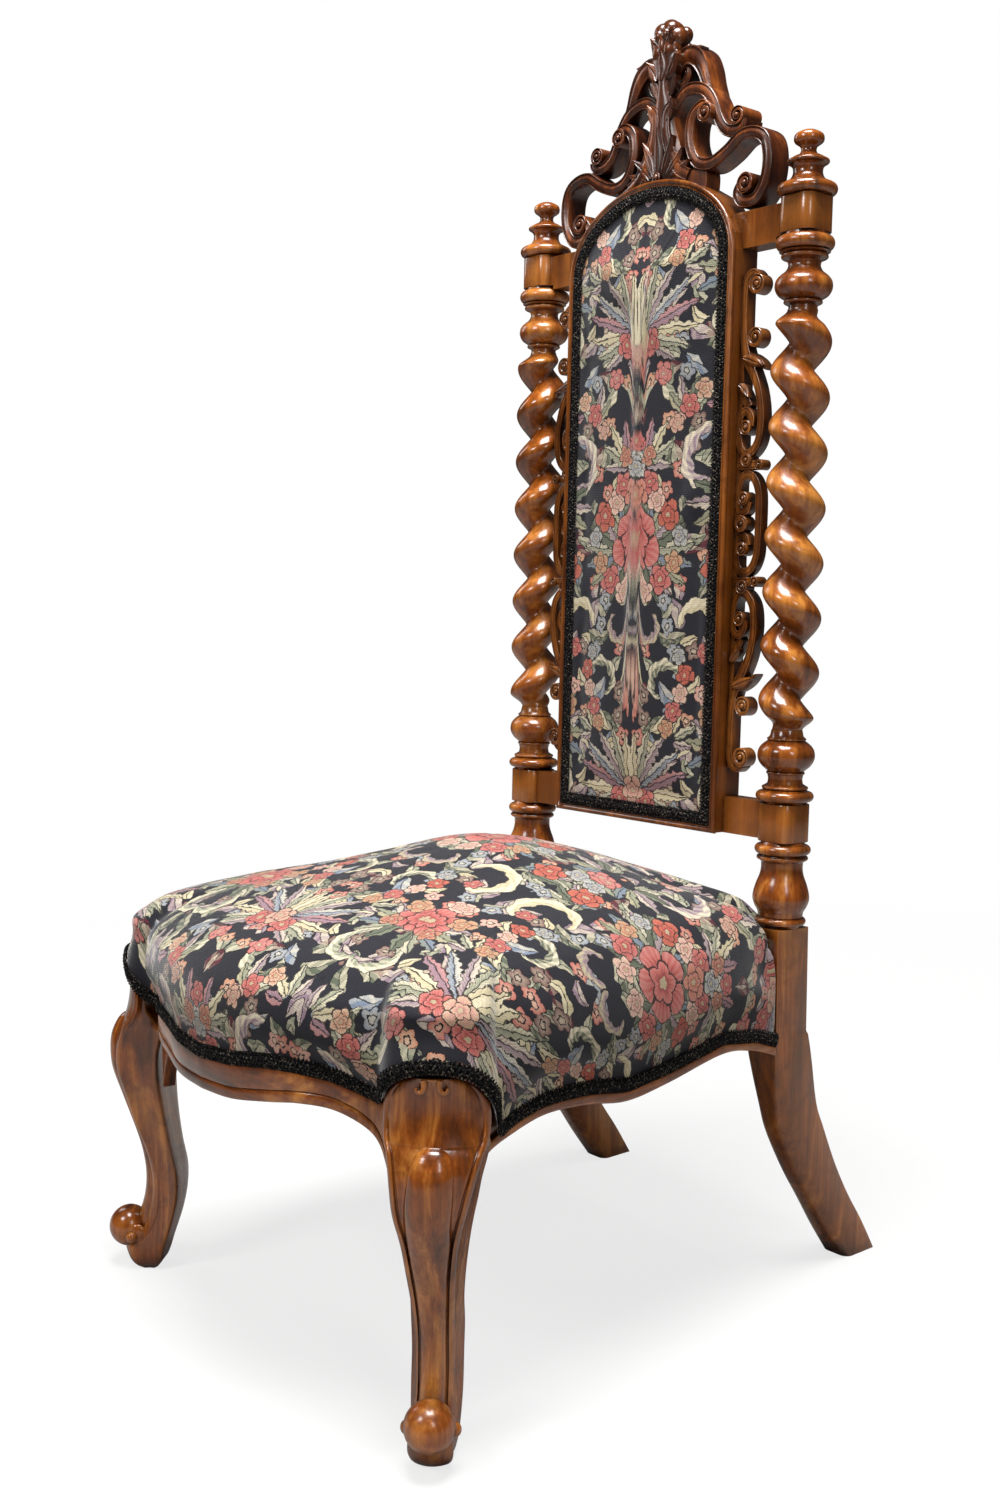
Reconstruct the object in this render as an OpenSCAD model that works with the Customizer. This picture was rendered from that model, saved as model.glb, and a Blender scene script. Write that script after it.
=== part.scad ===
/* [Back posts] */
// Distance between the axes of the two twisted posts
post_spacing = 343; // [300:1:400]
// Largest radius of the turning and of the twisted strand
post_reach = 26; // [20:0.5:32]
// Width of the square blocks left on each post
block_w = 37; // [34:0.5:44]
// Chamfer on the corners of those blocks
block_chamfer = 5.6; // [3:0.2:8]
// Backward lean of the whole back, in degrees
post_rake = 1.66; // [0:0.1:6]
// Turned baluster below the lower block
baluster_h = 76; // [60:1:90]
// Height of the lower block
lower_block_h = 34; // [30:1:44]
// Turned collar between the lower block and the twist
lower_collar_h = 65; // [50:1:80]
// Length of the twisted stretch
twist_h = 362; // [280:1:420]
// Rise of one full turn of the twist
twist_pitch = 47.5; // [38:0.5:60]
// Radius at the bottom of the twist's groove
twist_groove = 10.4; // [8:0.2:14]
// Turned collar between the twist and the upper block
upper_collar_h = 65; // [50:1:80]
// Height of the upper block
upper_block_h = 31; // [26:1:40]
// Height of the turned finial
finial_h = 56; // [40:1:70]
// Radius of the round tenon under each post
spigot_r = 11; // [8:0.5:13]
// Length of the round tenon under each post
spigot_h = 36; // [24:1:38]

/* [Rear legs] */
// Height of the shoulder that the post stands on, over the seat rails
leg_rise = 32; // [14:1:49]
// Depth of the rear leg from front to back at the seat
rear_leg_depth = 41; // [36:1:48]
// How far the leg's front face stands before the post axis
rear_leg_front = 23; // [20:0.5:27]
// Depth from the post axis back to the heel
rear_heel_depth = 130; // [90:1:150]
// Depth of the rear foot on the floor
rear_foot_depth = 46; // [34:1:54]
// Width of the rear foot
rear_foot_w = 31; // [26:1:37]
// Inward step of the rear foot's middle
rear_foot_inset = 3.5; // [0:0.5:10]
// Widest chamfer on the two front corners of the rear leg
rear_chamfer = 11; // [4:0.5:13]

/* [Front legs] */
// Half distance between the front leg axes
front_leg_x = 222.3; // [205:0.5:240]
// Distance of the front leg axes before the post axes
front_leg_y = 425.6; // [395:0.5:455]
// Height of the shield at the top of the knee
knee_h = 287; // [275:1:292]
// Depth of the diagonal blank that the leg is cut from
leg_stock = 66; // [58:1:72]
// Width of the shield across the knee
shield_w = 78; // [70:1:84]
// Height of the raised tongue that runs down the leg
tongue_lift = 6; // [3:0.5:8]
// Width of that tongue at the knee
tongue_w = 28; // [20:1:34]
// Radius of the round toe
toe_r = 17.5; // [15:0.5:20]
// Sideways drift of the shield from the axis of the foot
shield_drift = 3.3; // [0:0.1:5]
// Width of the square block between the rails
corner_block_w = 46; // [42:1:50]

/* [Seat frame] */
// Height of the rails' top over the shields of the front legs
rail_rise = 9; // [3:0.5:14]
// Thickness of the rails
rail_t = 24; // [20:0.5:28]
// Depth of the step that the cover is tacked in
cover_rebate = 4; // [2:0.5:6]
// Drop from the shields' top to the show wood's upper edge at mid span
show_wood_drop = 29; // [21:1:33]
// Drop from the shields' top to the underside of the front rail at mid span
front_rail_drop = 53; // [45:1:61]
// Forward bow of the front rail
front_bow = 58; // [40:1:70]
// Distance from the front leg's axis in to the front rail's shoulder
shoulder_inset = 72.3; // [64:0.1:84]
// Drop from the shields' top to the underside of the side rails at their lowest
side_rail_drop = 70; // [61:1:79]
// Height of the shallow waves in the side rails' underside
side_wave = 17; // [6:1:22]
// Height of the wood left showing under the gimp on the side rails
side_show_h = 8.6; // [6:0.2:14]
// Thickness of the rail tenons
tenon_t = 9; // [6:0.5:11]
// Height of the rail tenons
tenon_h = 36; // [26:1:40]
// Reach of the rail tenons into the legs
tenon_in = 18; // [12:1:22]

/* [Seat upholstery] */
// Height of the seat's crown above the rails
seat_crown_h = 111; // [84:1:129]
// Height of the cushion's shoulder above the rails
seat_shoulder_h = 43; // [30:1:60]
// Bulge of the cushion's sides beyond the rails
seat_bulge = 6; // [0:0.5:10]
// Thickness of the woven cover
cover_t = 1.5; // [1:0.1:2.5]
// Width of the gimp braid
gimp_w = 14; // [10:0.5:16]
// Thickness of the gimp braid
gimp_t = 2.6; // [1.6:0.1:4]
// Width of a strip of webbing
webbing_w = 50; // [40:1:60]
// Thickness of a strip of webbing
webbing_t = 1.6; // [1.2:0.1:2.4]
// Height of a seat spring
spring_h = 72; // [60:1:80]
// Radius of the end coils of a spring
spring_r = 40; // [30:1:46]
// Radius of the waist of a spring
spring_waist = 24; // [18:1:30]
// Radius of the spring wire
wire_r = 1.6; // [1.2:0.1:2.2]

/* [Back panel] */
// Gap between the side brackets and the posts
fret_gap = 6.5; // [4:0.5:12]
// Depth below the upper blocks where the arched head starts
arch_drop = 5; // [0:1:20]
// Rise of the arched head above that
arch_rise = 76; // [60:1:86]
// Width of the stiles
stile_w = 36; // [30:1:44]
// How far the panel frame stands before the post axes
panel_front = 22; // [18:0.5:26]
// Half thickness of the two cross rails
back_rail_half_t = 10; // [8:0.5:12]
// Height of the lower cross rail
lower_rail_h = 32.8; // [28:0.2:33]
// Width of the moulded edge outside the upholstery
edge_mould = 5.5; // [4:0.5:10]
// Depth of the step that holds the upholstery
panel_rebate = 5; // [3:0.5:7]
// Crown of the padded panel above its edge
panel_crown = 9; // [4:0.5:14]

/* [Carving] */
// Thickness of the pierced side brackets
fret_t = 12; // [9:0.5:15]
// Width of the strap work in the brackets
fret_strap = 7; // [4:0.2:8]
// Reach of the brackets beyond the stiles
fret_reach = 31; // [24:1:34]
// Gap from the brackets' ends to the levels of the lower and the upper blocks
fret_end_gap = 23; // [16:1:40]
// Height of the carved crest above the arched head
crest_h = 152; // [120:1:170]
// Gap between the crest's tips and the finials
crest_gap = 7; // [3:0.5:20]
// Thickness of the crest
crest_t = 24; // [20:0.5:32]
// Width of the crest's scrolled straps
crest_strap = 10; // [7:0.5:13]

/* [Hidden] */
$fn = 48;

// Clearance round glued joints and round soft pieces
glue_gap = 0.1;
soft_gap = 0.4;
// Overrun of a cut past the face that it opens
overrun = 1;

walnut = "#8b5126";
dark_walnut = "#5c311b";
tapestry = "#4b4a52";
braid = "#17161a";
jute = "#a98f63";
steel = "#8d8f92";

// Heights of the seat frame
rail_top = knee_h + rail_rise;
show_wood_top = knee_h - show_wood_drop;
front_rail_bottom = knee_h - front_rail_drop;
side_rail_bottom = knee_h - side_rail_drop;
seat_crown = rail_top + seat_crown_h;
leg_block_top = rail_top + leg_rise;

// Heights up the post, measured along its axis
post_x = post_spacing / 2;
lower_block = leg_block_top + baluster_h;
lower_collar = lower_block + lower_block_h;
twist_bottom = lower_collar + lower_collar_h;
upper_collar = twist_bottom + twist_h;
upper_block = upper_collar + upper_collar_h;
finial_bottom = upper_block + upper_block_h;
arch_spring = upper_block - arch_drop;
fret_h = upper_block - lower_collar - 2 * fret_end_gap;
fret_mid = (upper_block + lower_collar) / 2;

// Half widths between the posts
panel_half_w = post_x - post_reach - fret_gap - fret_reach;
crest_half_w = post_x - post_reach - crest_gap;
front_shoulder = front_leg_x - shoulder_inset;

// Plan of the seat frame
front_face_y = front_leg_y + 0.036 * leg_stock;
side_face_x = front_leg_x - 0.005 * leg_stock;
side_start_y = front_leg_y - 0.615 * leg_stock;
rear_face_x = post_x + block_w / 2;
side_run = side_start_y - rear_leg_front;
side_turn = atan((side_face_x - rear_face_x) / side_run);
side_len = side_run / cos(side_turn);
corner_outer_x = front_leg_x - 0.02 * leg_stock;
corner_outer_y = front_leg_y - 0.02 * leg_stock;
tenon_bottom = rail_top - 0.28 * tenon_h - tenon_h;
spring_floor = rail_top - 0.64 * spring_h;
long_web_top = spring_floor - webbing_t - soft_gap;
cover_in = 0.3 * cover_rebate;
front_reach = front_face_y + front_bow - cover_in + seat_bulge;
plan_shift = (front_reach - rear_heel_depth) / 2;

// Smooth curve through a list of points or rows, with a number of steps for each stretch
function blend(a, b, c, d, t) =
    (2 * b + (c - a) * t + (2 * a - 5 * b + 4 * c - d) * t * t + (3 * b - a - 3 * c + d) * t * t * t) / 2;
function smooth(p, steps) = concat(
    [for (i = [0:len(p) - 2], k = [0:steps - 1])
        blend(p[max(i - 1, 0)], p[i], p[i + 1], p[min(i + 2, len(p) - 1)], k / steps)],
    [p[len(p) - 1]]
);
function reversed(p) = [for (i = [len(p) - 1:-1:0]) p[i]];
function middle(p) = [for (i = [0:2]) sum([for (q = p) q[i]]) / len(p)];
function sum(v) = v * [for (x = v) 1];
function mix(a, b, t) = a + (b - a) * t;
function ease(t) = let (u = min(max(t, 0), 1)) u * u * (3 - 2 * u);
function mirrored_x(p) = [for (q = p) [-q[0], q[1]]];

// Solid through rings of equal length, closed on the middle of the first and the last
module loft(rings) {
    sides = len(rings[0]);
    last = len(rings) - 1;
    count = sides * (last + 1);
    points = concat([for (r = rings, p = r) p], [middle(rings[0]), middle(rings[last])]);
    walls = [for (k = [0:last - 1], s = [0:sides - 1], upper = [0, 1])
        let (a = k * sides + s, b = k * sides + (s + 1) % sides)
        upper == 1 ? [a, a + sides, b + sides] : [a, b + sides, b]];
    foot = [for (s = [0:sides - 1]) [s, (s + 1) % sides, count]];
    crown = [for (s = [0:sides - 1])
        [last * sides + (s + 1) % sides, last * sides + s, count + 1]];
    polyhedron(concat(points), concat(walls, foot, crown));
}

// Moves a piece from the post axis origin to the middle of the chair's plan
module in_plan() {
    translate([0, plan_shift, 0]) children();
}

// Leans a piece that is drawn upright on the post axes back by the rake
module leaned() {
    in_plan()
        translate([0, 0, leg_block_top])
            rotate([-post_rake, 0, 0])
                translate([0, 0, -leg_block_top]) children();
}

module on_both_sides() {
    children();
    mirror([1, 0, 0]) children();
}

// Outline of turning: each row is a height share, a radius share and the share of a bead's half height
function turned(rows, h) = [for (row = rows)
    each row[2] == 0
        ? [[row[1] * post_reach, row[0] * h]]
        : [for (a = [-90:30:90])
            [row[1] * post_reach - (1 - cos(a)) * row[2] * h, row[0] * h + sin(a) * row[2] * h]]];

baluster_shares = [
    [0, 0.71, 0], [0.07, 0.87, 0.045], [0.13, 0.76, 0], [0.18, 0.78, 0], [0.24, 0.88, 0],
    [0.32, 0.957, 0], [0.4, 0.94, 0], [0.5, 0.86, 0], [0.6, 0.75, 0], [0.68, 0.705, 0],
    [0.76, 0.71, 0], [0.81, 0.87, 0.026], [0.91, 0.95, 0.06], [1, 0.71, 0]
];
lower_collar_shares = [
    [0, 0.71, 0], [0.1, 0.977, 0.07], [0.215, 0.78, 0.023], [0.27, 0.6, 0], [0.33, 0.577, 0],
    [0.38, 0.6, 0], [0.415, 0.65, 0.018], [0.46, 0.68, 0], [0.51, 0.82, 0], [0.58, 0.93, 0],
    [0.654, 0.965, 0], [0.73, 0.93, 0], [0.79, 0.83, 0], [0.84, 0.68, 0],
    [0.875, 0.66, 0.018], [0.92, 0.56, 0], [1, 0.52, 0]
];
upper_collar_shares = [
    [0, 0.48, 0], [0.06, 0.48, 0], [0.11, 0.646, 0.023], [0.16, 0.7, 0], [0.2, 0.84, 0],
    [0.26, 0.93, 0], [0.32, 0.957, 0], [0.39, 0.92, 0], [0.45, 0.8, 0], [0.51, 0.62, 0],
    [0.58, 0.535, 0], [0.64, 0.56, 0], [0.7, 0.78, 0.03], [0.76, 0.85, 0],
    [0.87, 0.973, 0.1], [1, 0.71, 0]
];
finial_shares = [
    [0, 0.71, 0], [0.1, 0.996, 0.09], [0.2, 0.8, 0], [0.25, 0.6, 0], [0.33, 0.5, 0],
    [0.42, 0.5, 0], [0.47, 0.58, 0], [0.52, 0.7, 0.03], [0.59, 0.5, 0], [0.64, 0.3, 0],
    [0.7, 0.254, 0], [0.75, 0.3, 0], [0.81, 0.47, 0], [0.87, 0.5, 0], [0.93, 0.45, 0],
    [0.98, 0.25, 0], [1, 0.1, 0]
];

module turning(shares, h, bottom) {
    outline = turned(shares, h);
    translate([0, 0, bottom])
        rotate_extrude()
            polygon(concat([[0, 0]], outline, [[0, h]]));
}

module post_block(bottom, h) {
    half = block_w / 2;
    flat = half - block_chamfer;
    translate([0, 0, bottom])
        linear_extrude(h)
            polygon([[flat, -half], [half, -flat], [half, flat], [flat, half],
                [-flat, half], [-half, flat], [-half, -flat], [-flat, -half]]);
}

// Single strand wound round the post: full to the outside and sharp in the groove
twist_fullness = 0.72;
twist_lead = 40.8;
twist_mark_share = 0.9254;
twist_blend_share = 0.3;
twist_rings_per_turn = 12;
twist_sides = 16;

module twist() {
    rings = round(twist_h / twist_pitch * twist_rings_per_turn);
    tall = twist_h + 2 * overrun;
    neck = 0.5 * post_reach;
    mark = twist_mark_share * twist_h;
    loft([for (i = [0:rings])
        let (z = tall * i / rings - overrun,
            lead = twist_lead - 360 * (z - mark) / twist_pitch,
            free = ease(min(z + overrun, twist_h + overrun - z) / (twist_blend_share * twist_pitch)))
        [for (s = [0:twist_sides - 1])
            let (a = 360 * s / twist_sides + lead,
                full = pow(pow(cos((a - lead) / 2), 2), twist_fullness),
                r = mix(neck, mix(twist_groove, post_reach, full), free))
            [r * cos(a), r * sin(a), twist_bottom + z]]]);
}

// Mortise for a back rail tenon, on the inner side of a post block
module back_tenon(bottom, h, gap) {
    translate([-block_w / 2 - overrun, -tenon_t / 2 - gap, bottom + 0.2 * h - gap])
        cube([0.28 * block_w + overrun + gap, tenon_t + 2 * gap, 0.6 * h + 2 * gap]);
}

finial_spigot_r = 0.23 * post_reach;
finial_spigot_h = 0.6 * upper_block_h;

module twist_post() {
    leaned()
        translate([post_x, 0, 0])
            difference() {
                union() {
                    translate([0, 0, leg_block_top - spigot_h])
                        cylinder(r = spigot_r, h = spigot_h);
                    turning(baluster_shares, baluster_h, leg_block_top);
                    post_block(lower_block, lower_block_h);
                    turning(lower_collar_shares, lower_collar_h, lower_collar);
                    twist();
                    turning(upper_collar_shares, upper_collar_h, upper_collar);
                    post_block(upper_block, upper_block_h);
                }
                back_tenon(lower_block, lower_block_h, glue_gap);
                back_tenon(upper_block, upper_block_h, glue_gap);
                translate([0, 0, finial_bottom - finial_spigot_h - glue_gap])
                    cylinder(r = finial_spigot_r + glue_gap, h = finial_spigot_h + overrun);
            }
}

module twist_post_right() {
    color(walnut) twist_post();
}

module twist_post_left() {
    color(walnut) mirror([1, 0, 0]) twist_post();
}

module post_finial() {
    leaned()
        translate([post_x, 0, 0]) {
            turning(finial_shares, finial_h, finial_bottom);
            translate([0, 0, finial_bottom - finial_spigot_h])
                cylinder(r = finial_spigot_r, h = finial_spigot_h);
        }
}

module post_finial_right() {
    color(walnut) post_finial();
}

module post_finial_left() {
    color(walnut) mirror([1, 0, 0]) post_finial();
}

// Rear leg: square at the seat, swept back below it. Rows: height share; front and back shares of
// the sweep; share of the chamfer
rear_leg_shares = [
    [0, 0.735, 1, 0.55], [0.1, 0.57, 0.84, 0.75], [0.195, 0.43, 0.67, 0.86], [0.3, 0.275, 0.51, 0.93],
    [0.42, 0.127, 0.36, 1], [0.5, 0.069, 0.27, 0.94], [0.65, 0.009, 0.19, 0.34],
    [0.76, 0, 0.14, 0.05], [1, 0, 0.14, 0.05]
];
function rear_top(y) = -y * tan(post_rake);

// One level of the leg; the top level follows the shoulder under the leaning post
function rear_leg_ring(row) =
    let (foot_reach = rear_heel_depth + rear_leg_front, back_y = rear_leg_depth - rear_leg_front,
        swept = min(row[0] / 0.6, 1), front = row[1] * foot_reach - rear_leg_front,
        back = row[0] > 0.7 ? back_y : row[2] * rear_heel_depth, c = row[3] * rear_chamfer,
        half = mix(rear_foot_w, block_w, swept) / 2, mid = mix(-rear_foot_inset, 0, swept),
        z = row[0] * leg_block_top, tilt = row[0] == 1 ? 1 : 0)
    [for (p = [[half, front + c], [half, back], [-half, back], [-half, front + c],
            [c - half, front], [half - c, front]])
        [mid + p[0], p[1], z + tilt * rear_top(p[1])]];

module rear_leg() {
    difference() {
        in_plan()
            translate([post_x, 0, 0])
                loft([for (row = smooth(rear_leg_shares, 3)) rear_leg_ring(row)]);
        leaned()
            translate([post_x, 0, leg_block_top - spigot_h - glue_gap])
                cylinder(r = spigot_r + glue_gap, h = spigot_h + overrun);
        in_plan() side_rail_tenons(glue_gap);
        in_plan() rear_rail_tenon(glue_gap);
    }
}

module rear_leg_right() {
    color(walnut) rear_leg();
}

module rear_leg_left() {
    color(walnut) mirror([1, 0, 0]) rear_leg();
}

// Front rail: plan of its face, and its underside seen from the front
bow_shares = [
    [0, 1], [0.235, 0.95], [0.47, 0.79], [0.647, 0.65], [0.794, 0.38], [0.912, 0.12], [1, 0], [1.18, 0]
];
front_under_shares = [
    [0, 0], [0.235, 0.02], [0.47, 0.1], [0.647, 0.17], [0.794, 0.14], [0.912, -0.03], [0.965, -0.19],
    [1, -0.4], [1.03, -0.6], [1.06, -0.9]
];
bow_end = 1.135 * front_shoulder;
function front_face_half() = smooth([for (s = bow_shares)
    [s[0] * bow_end, -front_face_y - s[1] * front_bow]], 3);
function front_under_half() = smooth([for (s = front_under_shares)
    [s[0] * bow_end, front_rail_bottom + s[1] * 2 * (rail_top - front_rail_bottom) / 1.8]], 3);

// Upper edge of the wood that shows on the front rail: a share of the bow's end and of the rise
front_edge_shares = [
    [0, 0.09], [0.235, 0.17], [0.47, 0.32], [0.647, 0.37], [0.794, 0.28], [0.912, -0.03],
    [1, -0.14], [1.18, -0.14]
];
edge_rise = knee_h - show_wood_top + 0.25 * gimp_w;
function front_edge(share) = show_wood_top + lookup(share, front_edge_shares) * edge_rise;

module front_rail_plan(set_back) {
    half = front_face_half();
    face = [for (p = half) [p[0], p[1] + set_back]];
    back = [for (p = half) [p[0], p[1] + rail_t]];
    polygon(concat(face, reversed(back), mirrored_x(back), reversed(mirrored_x(face))));
}

module front_rail_elevation(upper) {
    half = front_under_half();
    polygon(concat(mirrored_x(reversed(half)), half, reversed(upper), mirrored_x(upper)));
}

module seen_from_front() {
    rotate([90, 0, 0])
        linear_extrude(2 * front_reach) children();
}

module front_rail_band() {
    far = 1.18 * bow_end;
    difference() {
        union() {
            intersection() {
                linear_extrude(rail_top) front_rail_plan(cover_rebate);
                seen_from_front() front_rail_elevation([[far, rail_top]]);
            }
            intersection() {
                linear_extrude(rail_top) front_rail_plan(0);
                seen_from_front()
                    front_rail_elevation([for (s = front_edge_shares)
                        [s[0] * bow_end, front_edge(s[0]) - soft_gap]]);
            }
        }
        linear_extrude(long_web_top) front_rail_plan(rail_t / 2);
    }
}

module front_rail_tenon(gap) {
    inner_y = corner_outer_y - 0.2 * corner_block_w;
    translate([front_shoulder - overrun, -inner_y - gap, tenon_bottom - gap])
        cube([corner_outer_x - front_shoulder - 0.5 * corner_block_w + tenon_in / 2 + overrun + gap,
            tenon_t + 2 * gap, tenon_h + 2 * gap]);
}

module front_seat_rail() {
    color(walnut) in_plan() {
        intersection() {
            front_rail_band();
            translate([-front_shoulder, -2 * front_reach, 0])
                cube([2 * front_shoulder, 2 * front_reach, 2 * rail_top]);
        }
        on_both_sides() front_rail_tenon(0);
    }
}

// Side rail, drawn along its outer face from the front leg to the rear leg
side_under_shares = [
    [-0.03, -1.8], [-0.015, -1.2], [0, -0.65], [0.03, -0.1], [0.08, 0.35], [0.2, 0.88], [0.33, 0.7],
    [0.46, 0.24], [0.6, 0.45], [0.8, 1], [0.92, 0.6], [1, 0]
];
side_shoulder_share = 0.035;

module along_side() {
    translate([side_face_x, -side_start_y, 0])
        rotate([0, 0, 90 + side_turn]) children();
}

function side_under() = smooth([for (s = side_under_shares)
    [s[0] * side_len, side_rail_bottom + s[1] * side_wave]], 3);

module side_rail_elevation() {
    under = side_under();
    polygon(concat(under, [[side_len, rail_top], [under[0][0], rail_top]]));
}

module side_rail_band() {
    along_side()
        difference() {
            union() {
                translate([0, rail_t, 0])
                    rotate([90, 0, 0])
                        linear_extrude(rail_t - cover_rebate) side_rail_elevation();
                side_show_wood();
            }
            translate([-side_len, rail_t / 2, 0])
                cube([3 * side_len, rail_t, spring_floor]);
        }
}

// Show wood under the gimp: a strip that follows the waved underside
function side_edge(share) = side_rail_bottom + lookup(share, side_under_shares) * side_wave + side_show_h;
module side_show_wood() {
    above = [for (s = side_under_shares) [s[0] * side_len, side_edge(s[0])]];
    translate([0, rail_t, 0])
        rotate([90, 0, 0])
            linear_extrude(rail_t)
                polygon(concat(side_under(), reversed(above)));
}

module side_rail_tenons(gap) {
    inset = 0.3 * rail_t;
    along_side() {
        translate([-0.45 * corner_block_w - gap, inset - gap, tenon_bottom - gap])
            cube([0.45 * corner_block_w + side_shoulder_share * side_len + overrun + gap,
                tenon_t + 2 * gap, tenon_h + 2 * gap]);
        translate([side_len - overrun, inset - gap, tenon_bottom - gap])
            cube([overrun + tenon_in + gap, tenon_t + 2 * gap, tenon_h + 2 * gap]);
    }
}

// Room behind the plane of the rear leg's front face, and before the front shoulder
module side_rail_trim() {
    translate([0, -rear_leg_front, 0])
        cube([2 * side_face_x, 2 * rail_t, 2 * rail_top]);
    along_side()
        translate([-side_len, -rail_t, 0])
            cube([(1 + side_shoulder_share) * side_len, 3 * rail_t, 2 * rail_top]);
}

module side_seat_rail() {
    in_plan() {
        difference() {
            side_rail_band();
            side_rail_trim();
        }
        side_rail_tenons(0);
    }
}

module side_seat_rail_right() {
    color(walnut) side_seat_rail();
}

module side_seat_rail_left() {
    color(walnut) mirror([1, 0, 0]) side_seat_rail();
}

rear_rail_bottom = spring_floor - 0.3 * webbing_w;
module rear_rail_tenon(gap) {
    translate([post_x - block_w / 2 - overrun, -tenon_t / 2 - gap, tenon_bottom - gap])
        cube([overrun + 0.55 * tenon_in + gap, tenon_t + 2 * gap, 0.75 * tenon_h + 2 * gap]);
}

module rear_seat_rail() {
    inner = post_x - block_w / 2;
    color(walnut) in_plan() {
        translate([-inner, 0, rear_rail_bottom])
            cube([2 * inner, rail_t / 2, rail_top - rear_rail_bottom]);
        translate([-inner, -rail_t / 2, long_web_top])
            cube([2 * inner, rail_t, rail_top - long_web_top]);
        on_both_sides() rear_rail_tenon(0);
    }
}

// Front leg rows: height share; front, edge and back shares of the blank; shares of the shield's
// half width at the face and at the back; share of the tongue's lift
leg_shares = [
    [0, 0.06, 0, -0.17, 0.3, 0.28, 0], [0.014, 0.18, 0.08, -0.24, 0.38, 0.38, 0],
    [0.042, 0.25, 0.14, -0.29, 0.43, 0.44, 0], [0.077, 0.29, 0.13, -0.335, 0.42, 0.47, 0],
    [0.122, 0.15, -0.06, -0.4, 0.4, 0.49, 0], [0.174, 0.07, -0.18, -0.47, 0.385, 0.5, 0.3],
    [0.244, -0.015, -0.23, -0.535, 0.385, 0.5, 0.5], [0.32, -0.03, -0.21, -0.546, 0.385, 0.515, 0.6],
    [0.4, 0.023, -0.11, -0.48, 0.41, 0.52, 0.7], [0.488, 0.13, 0.04, -0.42, 0.46, 0.58, 0.8],
    [0.575, 0.28, 0.13, -0.38, 0.54, 0.67, 0.9], [0.662, 0.41, 0.21, -0.36, 0.68, 0.79, 1],
    [0.721, 0.44, 0.21, -0.37, 0.76, 0.84, 1], [0.767, 0.42, 0.15, -0.42, 0.83, 0.9, 1],
    [0.808, 0.31, 0.06, -0.45, 0.9, 0.94, 0.5], [0.836, 0.18, -0.03, -0.36, 0.97, 0.9, 0],
    [0.871, 0.12, -0.09, -0.24, 1, 0.88, 0], [0.913, 0.1, -0.11, -0.22, 0.99, 0.86, 0],
    [0.955, 0.11, -0.09, -0.2, 0.9, 0.78, 0], [0.983, 0.14, -0.05, -0.18, 0.72, 0.62, 0],
    [1, 0.17, 0.03, -0.15, 0.44, 0.4, 0]
];
leg_face_stops = 6;
leg_steps = 2;

// One level of the leg, across the diagonal: u runs outward and t along the face
function leg_ring(row) =
    let (z = row[0] * knee_h, front = row[1] * leg_stock, edge = row[2] * leg_stock,
        back = row[3] * leg_stock, face_w = row[4] * shield_w / 2, back_w = row[5] * shield_w / 2,
        lift = row[6] * tongue_lift, hollow = 0.03 * face_w, drift = shield_drift * ease((row[0] - 0.62) / 0.2),
        ring = leg_outline(front, edge, back, face_w, back_w, lift, hollow, row[4]))
    [for (p = ring) [p[0], p[1] + drift, z]];

function leg_outline(front, edge, back, face_w, back_w, lift, hollow, spread) =
    concat(
        [for (i = [-leg_face_stops:leg_face_stops])
            let (s = i / leg_face_stops, t = s * face_w,
                tongue = lift * ease(2 * (1 - abs(t) / (tongue_w / 2 * (0.4 + 0.6 * spread)))))
            [mix(edge, front - lift, 1 - s * s) + tongue, t]],
        [[mix(edge, back, 0.12), face_w - hollow / 2],
            [mix(edge, back, 0.5), mix(face_w, back_w, 0.5) - hollow],
            [mix(edge, back, 0.9), back_w], [back, 0.8 * back_w], [back, 0],
            [back, -0.8 * back_w], [mix(edge, back, 0.9), -back_w],
            [mix(edge, back, 0.5), -mix(face_w, back_w, 0.5) + hollow],
            [mix(edge, back, 0.12), -face_w + hollow / 2]]
    );

module on_diagonal() {
    translate([front_leg_x, -front_leg_y, 0])
        rotate([0, 0, -45]) children();
}

toe_z = 1.03 * toe_r + 0.28 * leg_stock;
module front_leg_blade() {
    on_diagonal() {
        loft([for (row = smooth(leg_shares, leg_steps)) leg_ring(row)]);
        translate([0.25 * leg_stock, 0, toe_z]) sphere(r = toe_r, $fn = 40);
    }
}

// Ears of the leg, which carry the moulded edges of the rails down on to it
module front_ear() {
    intersection() {
        front_rail_band();
        translate([front_shoulder, -front_leg_y - 2 * rail_t, 0])
            cube([1.06 * bow_end - front_shoulder, 3 * rail_t, 2 * rail_top]);
    }
}

module side_ear() {
    intersection() {
        side_rail_band();
        along_side()
            translate([-0.04 * side_len, -rail_t, 0])
                cube([(0.04 + side_shoulder_share) * side_len, 3 * rail_t, 2 * rail_top]);
    }
}

module front_leg() {
    in_plan()
        difference() {
            union() {
                front_leg_blade();
                translate([corner_outer_x - corner_block_w, -corner_outer_y, 0.81 * knee_h])
                    cube([corner_block_w, corner_block_w, rail_top - 0.81 * knee_h]);
                front_ear();
                side_ear();
            }
            front_rail_tenon(glue_gap);
            side_rail_tenons(glue_gap);
        }
}

module front_leg_right() {
    color(walnut) front_leg();
}

module front_leg_left() {
    color(walnut) mirror([1, 0, 0]) front_leg();
}

// Glued corner blocks inside the seat frame, notched round the legs
brace_h = 0.6 * (rail_top - spring_floor);
function side_inner_x(y) = mix(side_face_x, rear_face_x, (side_start_y + y) / side_run) - rail_t / cos(side_turn);
module brace(outline) {
    translate([0, 0, rail_top - brace_h - webbing_t])
        linear_extrude(brace_h)
            polygon(outline);
}

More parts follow.
